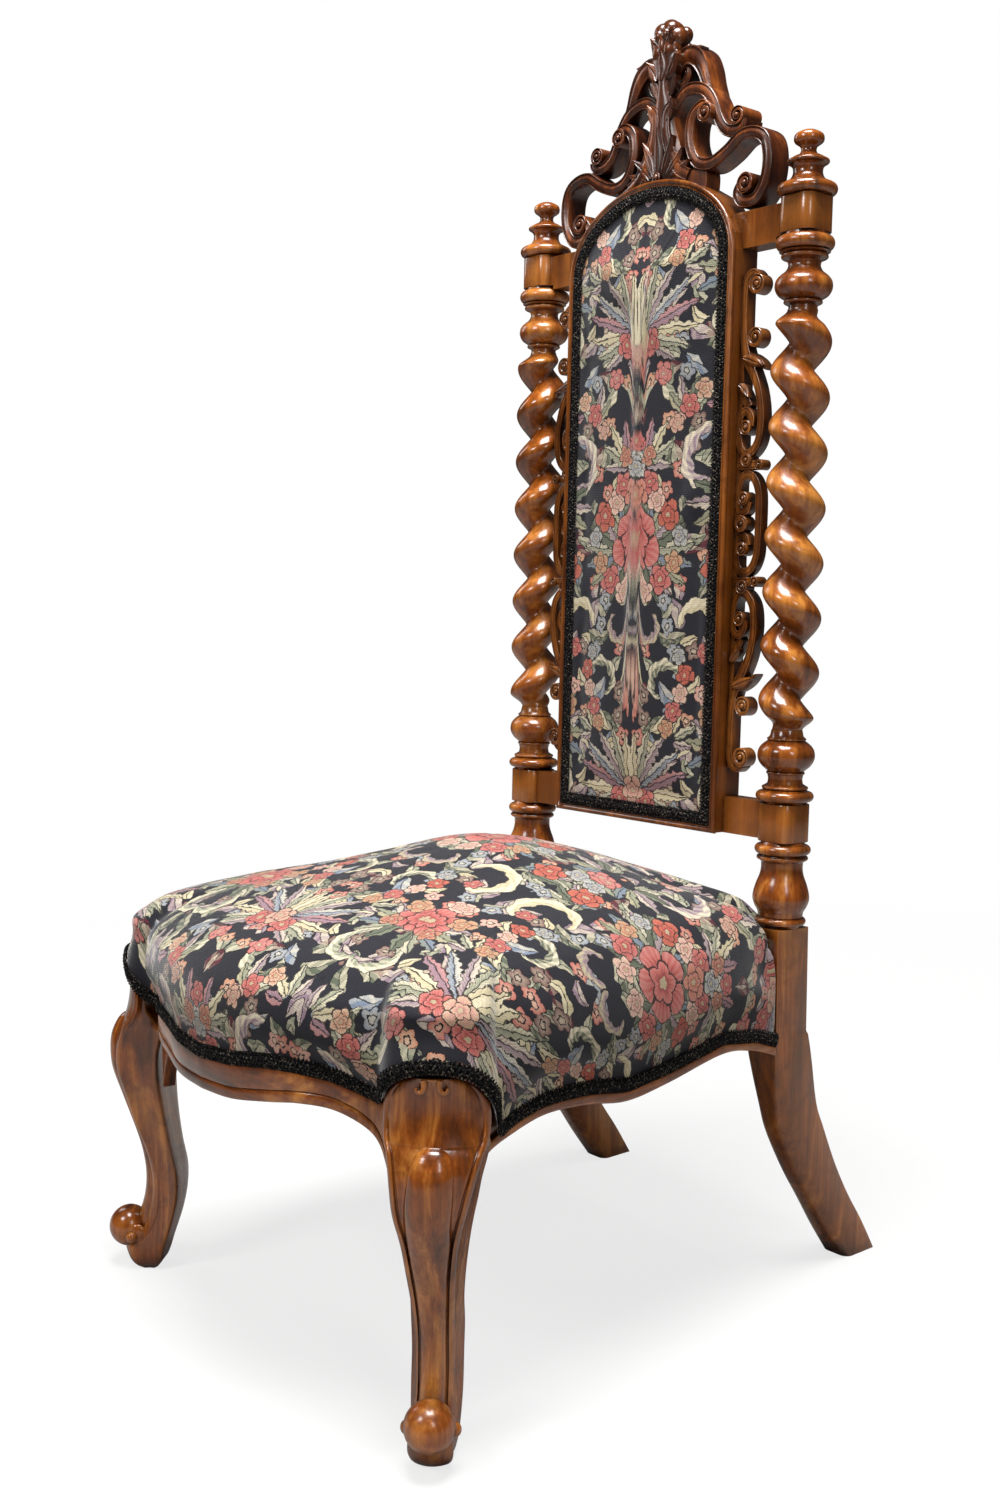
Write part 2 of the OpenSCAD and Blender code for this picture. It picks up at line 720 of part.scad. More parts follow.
module front_brace() {
    g = glue_gap;
    leg_x = corner_outer_x - corner_block_w - g;
    leg_y = -corner_outer_y + corner_block_w + g;
    rail_y = -front_face_y + rail_t + soft_gap;
    end_y = leg_y + 1.4 * rail_t;
    brace([[front_shoulder, rail_y], [leg_x, rail_y], [leg_x, leg_y], [side_inner_x(leg_y) - g, leg_y],
        [side_inner_x(end_y) - g, end_y], [front_shoulder, rail_y + 0.7 * rail_t]]);
}

module rear_brace() {
    g = glue_gap;
    leg_x = post_x - block_w / 2 - g;
    leg_y = -rear_leg_front - g;
    rail_y = -rail_t / 2 - g;
    end_y = leg_y - 1.6 * rail_t;
    brace([[leg_x, rail_y], [leg_x - 1.4 * rail_t, rail_y], [side_inner_x(end_y) - 2 * g, end_y],
        [side_inner_x(leg_y) - 2 * g, leg_y], [leg_x, leg_y]]);
}

module corner_blocks() {
    color(walnut) in_plan()
        on_both_sides() {
            front_brace();
            rear_brace();
        }
}

// Edge of the seat cover, right half, from the front to the rear rail. Each row holds the plan, the
// height of the foot and the share of the bulge above it
front_bulge_shares = [[0, 1], [0.235, 1], [0.47, 1], [0.647, 0.9], [0.794, 0.7], [0.912, 0.3]];
corner_edge_shares = [
    [-0.52, -0.56, -0.13, 0], [-0.09, -0.583, 0.2, -0.3], [0.06, -0.41, 0.85, -0.6],
    [0.15, -0.15, 1.02, -0.8], [0.18, 0.05, 1.05, -0.8], [0.15, 0.26, 1.02, -0.8],
    [0.06, 0.51, 0.85, -0.6], [-0.17, 0.69, 0.13, -0.3], [-0.56, 0.65, -1.03, 0]
];
side_bulge_shares = [
    [0.08, 0.6], [0.2, 1], [0.33, 1], [0.46, 1], [0.6, 1], [0.8, 1], [0.92, 0.6], [1, 0]
];
rear_edge_z = show_wood_top - 0.3 * edge_rise;
function seat_edge(notch) =
    let (in = post_x - block_w / 2 - notch, before = -rear_leg_front - notch,
        behind = rail_t / 2 + cover_t + soft_gap, over = rail_top + soft_gap)
    concat(
        [for (s = front_bulge_shares)
            [s[0] * bow_end, cover_in - front_face_y - lookup(s[0], bow_shares) * front_bow,
                front_edge(s[0]), s[1]]],
        [for (s = corner_edge_shares)
            [front_leg_x + (s[0] + s[1]) * leg_stock * cos(45),
                -front_leg_y + (s[1] - s[0]) * leg_stock * cos(45),
                show_wood_top + s[2] * edge_rise, s[3]]],
        [for (s = side_bulge_shares)
            [mix(side_face_x, rear_face_x, s[0]) - cover_in,
                -mix(side_start_y, rear_leg_front + notch, s[0]), side_edge(s[0]) + soft_gap, s[1]]],
        [[rear_face_x - cover_in - soft_gap, before, over, 0], [mix(rear_face_x, in, 0.5), before, over, 0],
            [in, before, over, 0], [in, 0.3 * before, over, 0], [in, behind, over, 0],
            [in - soft_gap, behind, rear_edge_z, 0], [0.66 * in, behind, rear_edge_z, 0],
            [0.33 * in, behind, rear_edge_z, 0]]
    );

// Closed ring of the cushion: both halves, drawn in by a share of their reach from the middle
seat_middle = [0, -0.46 * front_leg_y];
function seat_ring(notch, bulge, share, level, slack) =
    let (half = seat_edge(notch), n = len(half), top = rail_top + seat_shoulder_h,
        ring = concat(half, [for (i = [n - 1:-1:1]) [-half[i][0], half[i][1], half[i][2], half[i][3]]]))
    [for (e = ring)
        let (away = [e[0], e[1]] - seat_middle, out = bulge * e[3] * seat_bulge - slack,
            p = seat_middle + away * (1 - share) * (1 + out / norm(away)))
        [p[0], p[1], level < 1 ? mix(e[2], top, level) : mix(top, seat_crown, level - 1) - slack]];

// Rows of the cushion: share of the bulge, share of the reach, level from the foot (0) over the
// shoulder (1) to the crown (2)
cover_rows = [
    [0, 0, 0], [0, 0, 0.2], [0.9, 0, 0.44], [1, 0, 0.64], [0.5, 0, 0.85], [0, 0.035, 1],
    [0, 0.075, 1.15], [0, 0.14, 1.25], [0, 0.27, 1.4], [0, 0.5, 1.66], [0, 0.76, 1.9], [0, 0.985, 2]
];
lining_rows = [
    [0, 0, 0], [0, 0, 0.2], [0.9, 0, 0.44], [1, 0, 0.64], [0, 0.035, 1], [0, 0.14, 1.24],
    [0, 0.5, 1.65], [0, 0.985, 1.99]
];
post_notch = post_reach - block_w / 2 + soft_gap;
function seat_rings(rows, slack) = [for (r = rows)
    seat_ring(r[2] > 0.5 ? post_notch : soft_gap, r[0], r[1], r[2], slack)];

module seat_cover() {
    color(tapestry) in_plan()
        loft(concat(reversed(seat_rings(lining_rows, cover_t)), seat_rings(cover_rows, 0)));
}

// Flat ring used for the layers inside the cushion
function layer_ring(share, slack, z) =
    [for (p = seat_ring(post_notch, 0, share, 0, slack)) [p[0], p[1], z]];

hessian_z = spring_floor + spring_h + 2 * webbing_t;
hessian_shares = [0.97, 0.27, 0.15, 0.06];
module seat_stuffing() {
    slack = cover_t + 5 * soft_gap;
    top_z = hessian_z + webbing_t + 2 * soft_gap;
    edge_z = rail_top + webbing_t + 3 * soft_gap;
    upper = seat_rings(lining_rows, slack);
    color(jute) in_plan()
        loft(concat(
            [layer_ring(hessian_shares[0], 0, top_z), layer_ring(hessian_shares[1], 0, top_z),
                layer_ring(hessian_shares[2], 0, edge_z),
                layer_ring(0, slack + seat_bulge, edge_z)],
            [for (i = [3:len(upper) - 1]) upper[i]]
        ));
}

module seat_hessian() {
    edge = rail_top + soft_gap;
    levels = [hessian_z, hessian_z, edge, edge];
    color(jute) in_plan()
        loft(concat(
            [for (i = [0:3]) layer_ring(hessian_shares[i], 0, levels[i])],
            [for (i = [3:-1:0]) layer_ring(hessian_shares[i], 0, levels[i] + webbing_t)]
        ));
}

// Field inside the rebates under the rails, clear of the legs, where webbing and cloth are tacked
module web_field() {
    g = soft_gap;
    half = rail_t / 2 + g;
    leg_x = corner_outer_x - corner_block_w - g;
    leg_y = -corner_outer_y + corner_block_w + g;
    rear_y = -rear_leg_front - g;
    side_in = half / cos(side_turn);
    front = [for (p = front_face_half()) if (p[0] < leg_x) [p[0], p[1] + half]];
    right = concat(front, [[leg_x, half - front_face_y], [leg_x, leg_y],
        [mix(side_face_x, rear_face_x, (side_start_y + leg_y) / side_run) - side_in, leg_y],
        [rear_face_x - side_in, rear_y], [post_x - block_w / 2 - g, rear_y], [post_x - block_w / 2 - g, -g]]);
    polygon(concat(right, reversed(mirrored_x(right))));
}

// Webbing under the frame, lengthwise strips below the crosswise ones
web_pitch_share = 1.35;
module seat_webbing() {
    color(jute) in_plan() {
        translate([0, 0, long_web_top - webbing_t])
            linear_extrude(webbing_t)
                intersection() {
                    web_field();
                    for (i = [-1:1])
                        translate([(i * web_pitch_share - 0.5) * webbing_w, -front_reach])
                            square([webbing_w, front_reach]);
                }
        translate([0, 0, spring_floor - webbing_t])
            linear_extrude(webbing_t)
                intersection() {
                    web_field();
                    for (i = [-2:2])
                        translate([-side_face_x, seat_middle[1] + (i * web_pitch_share - 0.5) * webbing_w])
                            square([2 * side_face_x, webbing_w]);
                }
    }
}

module seat_bottom_cloth() {
    color(braid) in_plan()
        translate([0, 0, long_web_top - 2 * webbing_t])
            linear_extrude(webbing_t / 2)
                web_field();
}

spring_turns = 4;
spring_steps = 10;
spring_sides = 5;
module spring() {
    steps = spring_turns * spring_steps;
    rise = spring_h - 2 * wire_r;
    loft([for (i = [0:steps])
        let (a = 360 * i / spring_steps, share = i / steps,
            r = mix(spring_waist, spring_r, pow(abs(2 * share - 1), 1.4)) - wire_r,
            z = wire_r + rise * share)
        [for (s = [0:spring_sides - 1])
            let (b = 360 * s / spring_sides, out = r + wire_r * cos(b))
            [out * cos(a), out * sin(a), z - wire_r * sin(b)]]]);
}

module seat_springs() {
    spread = 0.26 * front_leg_y;
    color(steel) in_plan()
        translate([0, -0.53 * front_leg_y, spring_floor + soft_gap])
            for (p = [[0, 0], [-1, -1], [1, -1], [1, 1], [-1, 1]])
                translate([0.85 * spread * p[0], spread * p[1], 0]) spring();
}

// Braid along the foot of the cover, from one rear leg round the front to the other
function gimp_path() =
    let (ring = seat_ring(soft_gap, 0, 0, 0, 0), count = len(ring),
        run = len(front_bulge_shares) + len(corner_edge_shares) + len(side_bulge_shares) - 1)
    [for (i = [-run:run]) ring[(i + count) % count]];

// A steep run of braid stands taller, so that its width across the run stays the same
steepest_share = 1.7;
module braid_run(path) {
    last = len(path) - 1;
    loft([for (i = [0:last])
        let (p = path[i], way = path[min(i + 1, last)] - path[max(i - 1, 0)],
            flat = norm([way[0], way[1]]), out = [way[1], -way[0]] / flat,
            h = gimp_w * min(norm(way) / flat, steepest_share),
            near = [p[0], p[1]] + soft_gap * out, far = near + gimp_t * out)
        [[far[0], far[1], p[2]], [near[0], near[1], p[2]],
            [near[0], near[1], p[2] + h], [far[0], far[1], p[2] + h]]]);
}

module seat_gimp() {
    color(braid) in_plan() braid_run(gimp_path());
}

// Back panel outline: straight sides under a half ellipse, drawn in from the frame by an inset
arch_stops = 16;
function panel_outline(inset, bottom) =
    let (w = panel_half_w - inset, rise = arch_rise - inset)
    concat([[w, bottom]],
        [for (i = [0:arch_stops]) let (a = 180 * i / arch_stops) [w * cos(a), arch_spring + rise * sin(a)]],
        [[-w, bottom]]);

module upright(front, t) {
    translate([0, front + t, 0])
        rotate([90, 0, 0])
            linear_extrude(t) children();
}

panel_bottom = lower_block + 0.03 * lower_block_h;
top_rail_bottom = arch_spring + 0.01 * arch_rise;
top_rail_top = finial_bottom - 0.1 * upper_block_h;
frame_t = panel_front + back_rail_half_t;

module top_back_rail() {
    inner = post_x - block_w / 2;
    color(walnut) leaned()
        difference() {
            union() {
                upright(-panel_front, frame_t)
                    intersection() {
                        polygon(panel_outline(0, panel_bottom));
                        translate([-inner, arch_spring]) square([2 * inner, 2 * arch_rise]);
                    }
                upright(-back_rail_half_t, 2 * back_rail_half_t)
                    translate([-inner, top_rail_bottom])
                        square([2 * inner, top_rail_top - top_rail_bottom]);
                on_both_sides() translate([post_x, 0, 0]) back_tenon_plug(upper_block, upper_block_h);
            }
            upright(-panel_front - overrun, panel_rebate + overrun)
                polygon(panel_outline(edge_mould, panel_bottom));
            upright(-panel_front - overrun, frame_t + 2 * overrun)
                polygon(panel_outline(stile_w, panel_bottom));
            on_both_sides() {
                stile_tenon(glue_gap);
                translate([post_x, 0, upper_collar])
                    cylinder(r = post_reach + glue_gap, h = upper_collar_h);
            }
            crest_pegs(glue_gap);
        }
}

// Tenon on the end of a back rail
module back_tenon_plug(bottom, h) {
    translate([-block_w / 2 - overrun, -tenon_t / 2, bottom + 0.2 * h])
        cube([0.28 * block_w + overrun, tenon_t, 0.6 * h]);
}

module lower_back_rail() {
    inner = post_x - block_w / 2;
    color(walnut) leaned() {
        upright(-back_rail_half_t, 2 * back_rail_half_t)
            translate([-inner, panel_bottom]) square([2 * inner, lower_rail_h]);
        on_both_sides() translate([post_x, 0, 0]) back_tenon_plug(lower_block, lower_block_h);
    }
}

// Tenon that joins the head of a stile to the arched rail
module stile_tenon(gap) {
    mid = panel_half_w - stile_w / 2;
    translate([mid - 0.25 * stile_w - gap, -tenon_t / 2 - gap, arch_spring - overrun])
        cube([0.5 * stile_w + 2 * gap, tenon_t + 2 * gap, 0.45 * stile_w + overrun + gap]);
}

module panel_stile() {
    step = panel_half_w - stile_w;
    leaned() {
        difference() {
            upright(-panel_front, frame_t)
                translate([step, panel_bottom]) square([stile_w, arch_spring - panel_bottom]);
            upright(-panel_front - overrun, panel_rebate + overrun)
                translate([step - overrun, panel_bottom + edge_mould])
                    square([stile_w - edge_mould + overrun, arch_spring]);
            upright(-back_rail_half_t - glue_gap, 3 * back_rail_half_t)
                translate([step - overrun, panel_bottom - overrun])
                    square([stile_w + 2 * overrun, lower_rail_h + overrun + glue_gap]);
        }
        stile_tenon(0);
    }
}

module panel_stile_right() {
    color(walnut) panel_stile();
}

module panel_stile_left() {
    color(walnut) mirror([1, 0, 0]) panel_stile();
}

module panel_bottom_rail() {
    half = panel_half_w - stile_w - glue_gap;
    depth = panel_front - back_rail_half_t - glue_gap;
    color(walnut) leaned()
        difference() {
            upright(-panel_front, depth)
                translate([-half, panel_bottom]) square([2 * half, lower_rail_h]);
            upright(-panel_front - overrun, panel_rebate + overrun)
                translate([-panel_half_w, panel_bottom + edge_mould])
                    square([2 * panel_half_w, lower_rail_h]);
        }
}

// Strap of changing width along a smooth line, for pierced carving
function strap_outline(rows, scale_x, scale_z, half_w, steps) =
    let (line = smooth([for (r = rows) [r[0] * scale_x, r[1] * scale_z, r[2] * half_w]], steps),
        last = len(line) - 1,
        sides = [for (i = [0:last])
            let (way = line[min(i + 1, last)] - line[max(i - 1, 0)], n = norm([way[0], way[1]]))
            [-way[1], way[0]] / n * line[i][2]])
    [for (side = [1, -1]) each let (run = [for (i = [0:last]) [line[i][0], line[i][1]] + side * sides[i]])
        side == 1 ? run : reversed(run)];

// Straps of a side bracket above its middle: rows are a reach share, a height share and the share of
// the strap's half width
fret_half = fret_h / 2;
fret_strap_shares = [
    [[0.6, 0.965, 1], [0.42, 0.983, 1], [0.22, 0.965, 1], [0.12, 0.92, 1], [0.1, 0.84, 1], [0.13, 0.76, 1],
        [0.2, 0.7, 1.1], [0.35, 0.64, 1.2], [0.55, 0.59, 1.1], [0.75, 0.53, 1], [0.87, 0.46, 1],
        [0.9, 0.39, 1], [0.82, 0.325, 1], [0.6, 0.285, 1], [0.35, 0.275, 1], [0.14, 0.31, 1],
        [0.06, 0.37, 1], [0.14, 0.43, 1], [0.35, 0.445, 1], [0.52, 0.42, 1], [0.52, 0.385, 0.9]],
    [[0.14, 0.7, 1], [0.32, 0.725, 1], [0.52, 0.74, 1]],
    [[0.2, 0.66, 1.3], [0.5, 0.645, 1.3], [0.8, 0.625, 0.9], [1.03, 0.6, 0.2]],
    [[0.05, 0.545, 0.9], [0.2, 0.51, 1.3], [0.42, 0.46, 1]],
    [[0.05, 0.231, 1], [0.5, 0.231, 1], [0.93, 0.231, 1]],
    [[0.9, -0.01, 1], [0.9, 0.07, 1], [0.86, 0.13, 1], [0.7, 0.175, 1], [0.45, 0.195, 1], [0.2, 0.18, 1],
        [0.09, 0.13, 1], [0.09, 0.08, 1], [0.22, 0.048, 1], [0.42, 0.055, 1], [0.52, 0.088, 0.9]]
];
// Volutes, beads and ties of the bracket: reach share, height share, radius share and depth share
fret_round_shares = [
    [0.61, 0.937, 0.28, 1.1], [0.61, 0.73, 0.28, 1.08], [0.35, 0.38, 0.21, 1.06], [0.9, 0.231, 0.15, 1.04],
    [0.4, 0.252, 0.2, 1.02], [0.35, 0.1, 0.2, 1.06], [0.3, 0, 0.24, 1.04]
];
fret_spine_share = 0.15;

module fret_bracket() {
    leaned()
        translate([panel_half_w + glue_gap, 0, fret_mid])
            intersection() {
                for (side = [0, 1])
                    mirror([0, 0, side]) {
                        for (i = [0:len(fret_strap_shares) - 1])
                            let (drop = (0.02 + 0.025 * i) * fret_t)
                            upright(drop - back_rail_half_t, fret_t - 1.6 * drop)
                                polygon(strap_outline(fret_strap_shares[i], fret_reach, fret_half,
                                    fret_strap / 2, 3));
                        for (s = fret_round_shares)
                            translate([s[0] * fret_reach, (1 - s[3]) * fret_t - back_rail_half_t,
                                    s[1] * fret_half])
                                rotate([-90, 0, 0])
                                    cylinder(r = s[2] * fret_reach, h = 0.97 * s[3] * fret_t, $fn = 24);
                        translate([0, 0.2 * fret_t - back_rail_half_t, -overrun])
                            cube([fret_spine_share * fret_reach, 0.6 * fret_t, 0.99 * fret_half]);
                    }
                translate([0, -panel_front, -fret_half])
                    cube([2 * fret_reach, 2 * panel_front, fret_h]);
            }
}

module fret_bracket_right() {
    color(walnut) fret_bracket();
}

module fret_bracket_left() {
    color(walnut) mirror([1, 0, 0]) fret_bracket();
}

// Carved crest, right half. Straps: front and thickness shares of the crest's thickness, then rows of
// a width share, a height share over the arch and the share of the strap's half width
crest_base = arch_spring + arch_rise;
crest_strap_shares = [
    [-0.42, 1, [[0.82, -0.1, 0.9], [0.75, -0.12, 1], [0.715, -0.17, 1], [0.76, -0.22, 1], [0.86, -0.22, 1],
        [0.935, -0.14, 1], [0.96, -0.01, 1], [0.93, 0.105, 1], [0.84, 0.158, 1], [0.72, 0.16, 1],
        [0.6, 0.095, 1], [0.46, 0.05, 1], [0.34, 0.08, 1], [0.275, 0.18, 1], [0.265, 0.29, 1],
        [0.3, 0.37, 1], [0.38, 0.4, 1], [0.43, 0.35, 0.9]]],
    [-0.2, 0.92, [[0.05, 0.31, 1], [0.06, 0.4, 1], [0.11, 0.487, 1], [0.195, 0.533, 1], [0.29, 0.526, 1],
        [0.375, 0.487, 1], [0.44, 0.41, 1], [0.484, 0.32, 1], [0.534, 0.25, 1], [0.606, 0.215, 1],
        [0.685, 0.22, 1], [0.71, 0.27, 0.9]]],
    [0.05, 0.88, [[0.1, 0.69, 1], [0.125, 0.75, 1], [0.195, 0.776, 1], [0.267, 0.737, 0.95],
        [0.318, 0.651, 0.8], [0.361, 0.55, 0.7], [0.41, 0.47, 0.4]]]
];
// Eyes of the scrolls: width, height and radius shares, then front and thickness shares
crest_eye_shares = [
    [0.785, -0.12, 0.062, -0.5, 1.12], [0.408, 0.355, 0.06, -0.48, 1.04], [0.664, 0.293, 0.055, -0.28, 1.05],
    [0.155, 0.671, 0.062, -0.05, 0.95]
];
crest_leaf_shares = [
    [0, -0.1], [0.42, -0.1], [0.42, 0.015], [0.36, 0.04], [0.28, 0.06], [0.23, 0.14], [0.19, 0.24],
    [0.13, 0.33], [0.09, 0.42], [0.075, 0.54], [0.1, 0.62], [0.1, 0.72], [0.07, 0.8], [0, 0.8]
];
crest_knob_shares = [
    [0, 0.7], [0.05, 0.72], [0.085, 0.78], [0.075, 0.81], [0.1, 0.85], [0.108, 0.9], [0.09, 0.95],
    [0.05, 0.98], [0, 0.987]
];

module crest_pegs(gap) {
    for (s = [-0.2, 0, 0.2])
        translate([s * crest_half_w, 0, crest_base - 0.3 * stile_w])
            cylinder(r = 0.11 * stile_w + gap, h = 0.5 * stile_w + gap);
}

module crest_slab(front, t) {
    upright(front * crest_t, t * crest_t) children();
}

module crest_body(shares) {
    half = [for (s = shares) [s[0] * crest_half_w, s[1] * crest_h]];
    inner = [for (i = [1:len(half) - 2]) half[i]];
    polygon(concat(half, reversed(mirrored_x(inner))));
}

module carved_crest() {
    color(dark_walnut) leaned()
        difference() {
            translate([0, 0, crest_base]) {
                on_both_sides() {
                    for (s = crest_strap_shares)
                        crest_slab(s[0], s[1])
                            polygon(strap_outline(s[2], crest_half_w, crest_h, crest_strap / 2, 4));
                    for (s = crest_eye_shares)
                        translate([s[0] * crest_half_w, s[3] * crest_t, s[1] * crest_h])
                            rotate([-90, 0, 0])
                                cylinder(r = s[2] * crest_half_w, h = s[4] * crest_t, $fn = 32);
                }
                crest_slab(-0.36, 0.9) crest_body(crest_leaf_shares);
                crest_slab(-0.15, 1.05) crest_body(crest_knob_shares);
            }
            upright(-2 * crest_t, 4 * crest_t) offset_arch();
            upright(-2 * crest_t, 4 * crest_t)
                translate([-2 * crest_half_w, 0])
                    square([4 * crest_half_w, top_rail_top + glue_gap]);
            crest_pegs(glue_gap);
        }
}

module offset_arch() {
    polygon(panel_outline(-glue_gap, panel_bottom));
}

module crest_dowels() {
    color(walnut) leaned() crest_pegs(0);
}

// Padded panel: rings from its edge to its ridge, each drawn in by a share of the half width
pad_floor = panel_rebate - panel_front;
pad_flat = -panel_front + 0.2 * panel_rebate;
pad_half_w = panel_half_w - edge_mould - soft_gap;
pad_rise = arch_rise - edge_mould - soft_gap;
gimp_share = 1.08 * gimp_w / pad_half_w;
function pad_ring(share, slack, y) =
    let (w = (pad_half_w - slack) * (1 - share), rise = (pad_rise - slack) * (1 - share),
        spring = arch_spring - share * (pad_half_w - pad_rise),
        bottom = panel_bottom + edge_mould + soft_gap + slack + share * pad_half_w, low = 6)
    concat(
        [for (i = [1:arch_stops - 1]) let (a = 180 * i / arch_stops) [w * cos(a), y, spring + rise * sin(a)]],
        [for (i = [0:low]) [-w, y, mix(spring, bottom, i / low)]],
        [for (i = [1:3]) [mix(-w, w, i / 4), y, bottom]],
        [for (i = [0:low]) [w, y, mix(bottom, spring, i / low)]]
    );
pad_rows = [[gimp_share, 0], [0.22, 0.3], [0.34, 0.6], [0.5, 0.82], [0.7, 0.95], [0.96, 1]];
function pad_rings(slack) = [for (r = pad_rows)
    pad_ring(r[0], slack, mix(pad_flat, -panel_front - panel_crown, r[1]) + slack)];

module back_cover() {
    color(tapestry) leaned()
        loft(concat(
            reversed(pad_rings(cover_t)),
            [pad_ring(0, cover_t, pad_flat + cover_t), pad_ring(0, cover_t, pad_floor - soft_gap),
                pad_ring(0, 0, pad_floor - soft_gap), pad_ring(0, 0, pad_flat)],
            pad_rings(0)));
}

// Webbing strained across the opening of the panel, behind the stuffing
module back_webbing() {
    half = pad_half_w - cover_t - 2 * soft_gap;
    pitch = (arch_spring - panel_bottom) / 6;
    color(jute) leaned()
        for (i = [0:5])
            translate([-half, pad_floor - webbing_t, panel_bottom + 2 * edge_mould + i * pitch])
                cube([2 * half, webbing_t, webbing_w]);
}

module back_stuffing() {
    slack = cover_t + soft_gap;
    rings = pad_rings(slack);
    back_y = pad_floor - webbing_t - soft_gap;
    color(jute) leaned()
        loft(concat([pad_ring(0.9, 0, back_y), pad_ring(pad_rows[1][0], slack, back_y)],
            [for (i = [1:len(rings) - 1]) rings[i]]));
}

module back_gimp() {
    outer = edge_mould + 2 * soft_gap;
    color(braid) leaned()
        difference() {
            upright(pad_flat - soft_gap - gimp_t, gimp_t)
                polygon(panel_outline(outer, panel_bottom + outer));
            upright(-2 * panel_front, 4 * panel_front)
                polygon(panel_outline(edge_mould + gimp_w, panel_bottom + edge_mould + gimp_w));
        }
}

module outside_back_cloth() {
    color(braid) leaned()
        upright(back_rail_half_t + soft_gap / 2, cover_t)
            polygon(panel_outline(0.3 * stile_w, panel_bottom + 0.3 * lower_rail_h));
}

front_leg_right();
front_leg_left();
rear_leg_right();
rear_leg_left();
front_seat_rail();
side_seat_rail_right();
side_seat_rail_left();
rear_seat_rail();
corner_blocks();
twist_post_right();
twist_post_left();
post_finial_right();
post_finial_left();
lower_back_rail();
top_back_rail();
panel_stile_right();
panel_stile_left();
panel_bottom_rail();
fret_bracket_right();
fret_bracket_left();
carved_crest();
crest_dowels();
seat_bottom_cloth();
seat_webbing();
seat_springs();
seat_hessian();
seat_stuffing();
seat_cover();
seat_gimp();
back_webbing();
back_stuffing();
back_cover();
back_gimp();
outside_back_cloth();
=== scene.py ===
"""Barley twist side chair: carved and turned walnut, woven tapestry upholstery and gimp braid."""

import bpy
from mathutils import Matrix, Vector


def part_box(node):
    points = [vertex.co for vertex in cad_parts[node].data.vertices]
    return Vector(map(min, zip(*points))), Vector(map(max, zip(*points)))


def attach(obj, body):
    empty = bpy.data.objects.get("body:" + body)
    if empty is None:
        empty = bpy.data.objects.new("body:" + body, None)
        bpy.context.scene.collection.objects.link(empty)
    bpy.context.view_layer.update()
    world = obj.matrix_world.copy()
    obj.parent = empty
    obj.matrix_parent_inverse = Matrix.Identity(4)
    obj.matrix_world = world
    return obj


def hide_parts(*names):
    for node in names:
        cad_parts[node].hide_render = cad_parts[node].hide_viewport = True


bl_info = {
    "name": "Barley Twist Side Chair",
    "version": (1, 0, 0),
    "blender": (4, 5, 0),
    "location": "View3D > Sidebar > Chair",
    "description": "Builds a twisted-post side chair with carved crest and tapestry seat",
    "category": "Object",
}

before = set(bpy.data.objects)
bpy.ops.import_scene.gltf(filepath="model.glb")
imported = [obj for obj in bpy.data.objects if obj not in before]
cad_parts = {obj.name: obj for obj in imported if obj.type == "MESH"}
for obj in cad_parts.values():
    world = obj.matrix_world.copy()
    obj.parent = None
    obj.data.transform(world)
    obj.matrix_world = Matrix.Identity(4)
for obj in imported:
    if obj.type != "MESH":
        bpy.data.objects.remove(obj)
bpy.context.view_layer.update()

import math
from functools import partialmethod

import bpy
import numpy as np
from mathutils import Vector

MM = 0.001

# Sizes of the frame in millimetres, as in the construction model
PLAN_SHIFT = 180.389
RAKE = math.radians(1.66)
LEG_TOP = 328.0
POST_X = 171.5
POST_REACH = 26.0
BLOCK_W = 37.0
BLOCK_ROUND = 10.0
BALUSTER_H = 76.0
LOWER_BLOCK_H = 34.0
COLLAR_H = 65.0
UPPER_BLOCK_H = 31.0
FINIAL_H = 56.0
LOWER_BLOCK = LEG_TOP + BALUSTER_H
LOWER_COLLAR = LOWER_BLOCK + LOWER_BLOCK_H
TWIST_BOTTOM = LOWER_COLLAR + COLLAR_H
TWIST_H = 362.0
# The crest of the strand stands at this turn at this height above the bottom of the twist
TWIST_TURN = math.radians(40.8)
TWIST_MARK = 0.9254 * TWIST_H
UPPER_COLLAR = TWIST_BOTTOM + TWIST_H
UPPER_BLOCK = UPPER_COLLAR + COLLAR_H
FINIAL_BOTTOM = UPPER_BLOCK + UPPER_BLOCK_H

LEG_X = 222.3
LEG_Y = 425.6
LEG_STOCK = 66.0
KNEE_H = 287.0
SHIELD_W = 78.0
FRONT_FACE_Y = LEG_Y + 0.036 * LEG_STOCK
SIDE_FACE_X = LEG_X - 0.005 * LEG_STOCK
SIDE_START_Y = LEG_Y - 0.615 * LEG_STOCK
REAR_FACE_X = POST_X + BLOCK_W / 2
REAR_LEG_FRONT = 23.0
SIDE_RUN = SIDE_START_Y - REAR_LEG_FRONT
SIDE_TURN = math.atan((SIDE_FACE_X - REAR_FACE_X) / SIDE_RUN)
SIDE_LEN = SIDE_RUN / math.cos(SIDE_TURN)
RAIL_TOP = 296.0
RAIL_T = 24.0
REBATE = 4.0
COVER_IN = 0.3 * REBATE
RAIL_SPLIT = 150.0
BOW_END = 1.135 * RAIL_SPLIT
FRONT_BOW = 58.0
SHOW_TOP = 258.0
FRONT_BOTTOM = 234.0
SIDE_BOTTOM = 217.0
SIDE_WAVE = 17.0
SIDE_SHOW_H = 8.6
SIDE_SPLIT = 0.035
RAIL_DEPTH = 12.0
RAIL_BEAD = 9.5
GIMP_W = 10.8
SOFT_GAP = 0.4
EDGE_RISE = KNEE_H - SHOW_TOP + 3.5
SEAT_CROWN = 407.0
SEAT_SHOULDER = RAIL_TOP + 43.0
SEAT_BULGE = 6.0
SEAT_MIDDLE = np.array([0.0, -0.46 * LEG_Y])

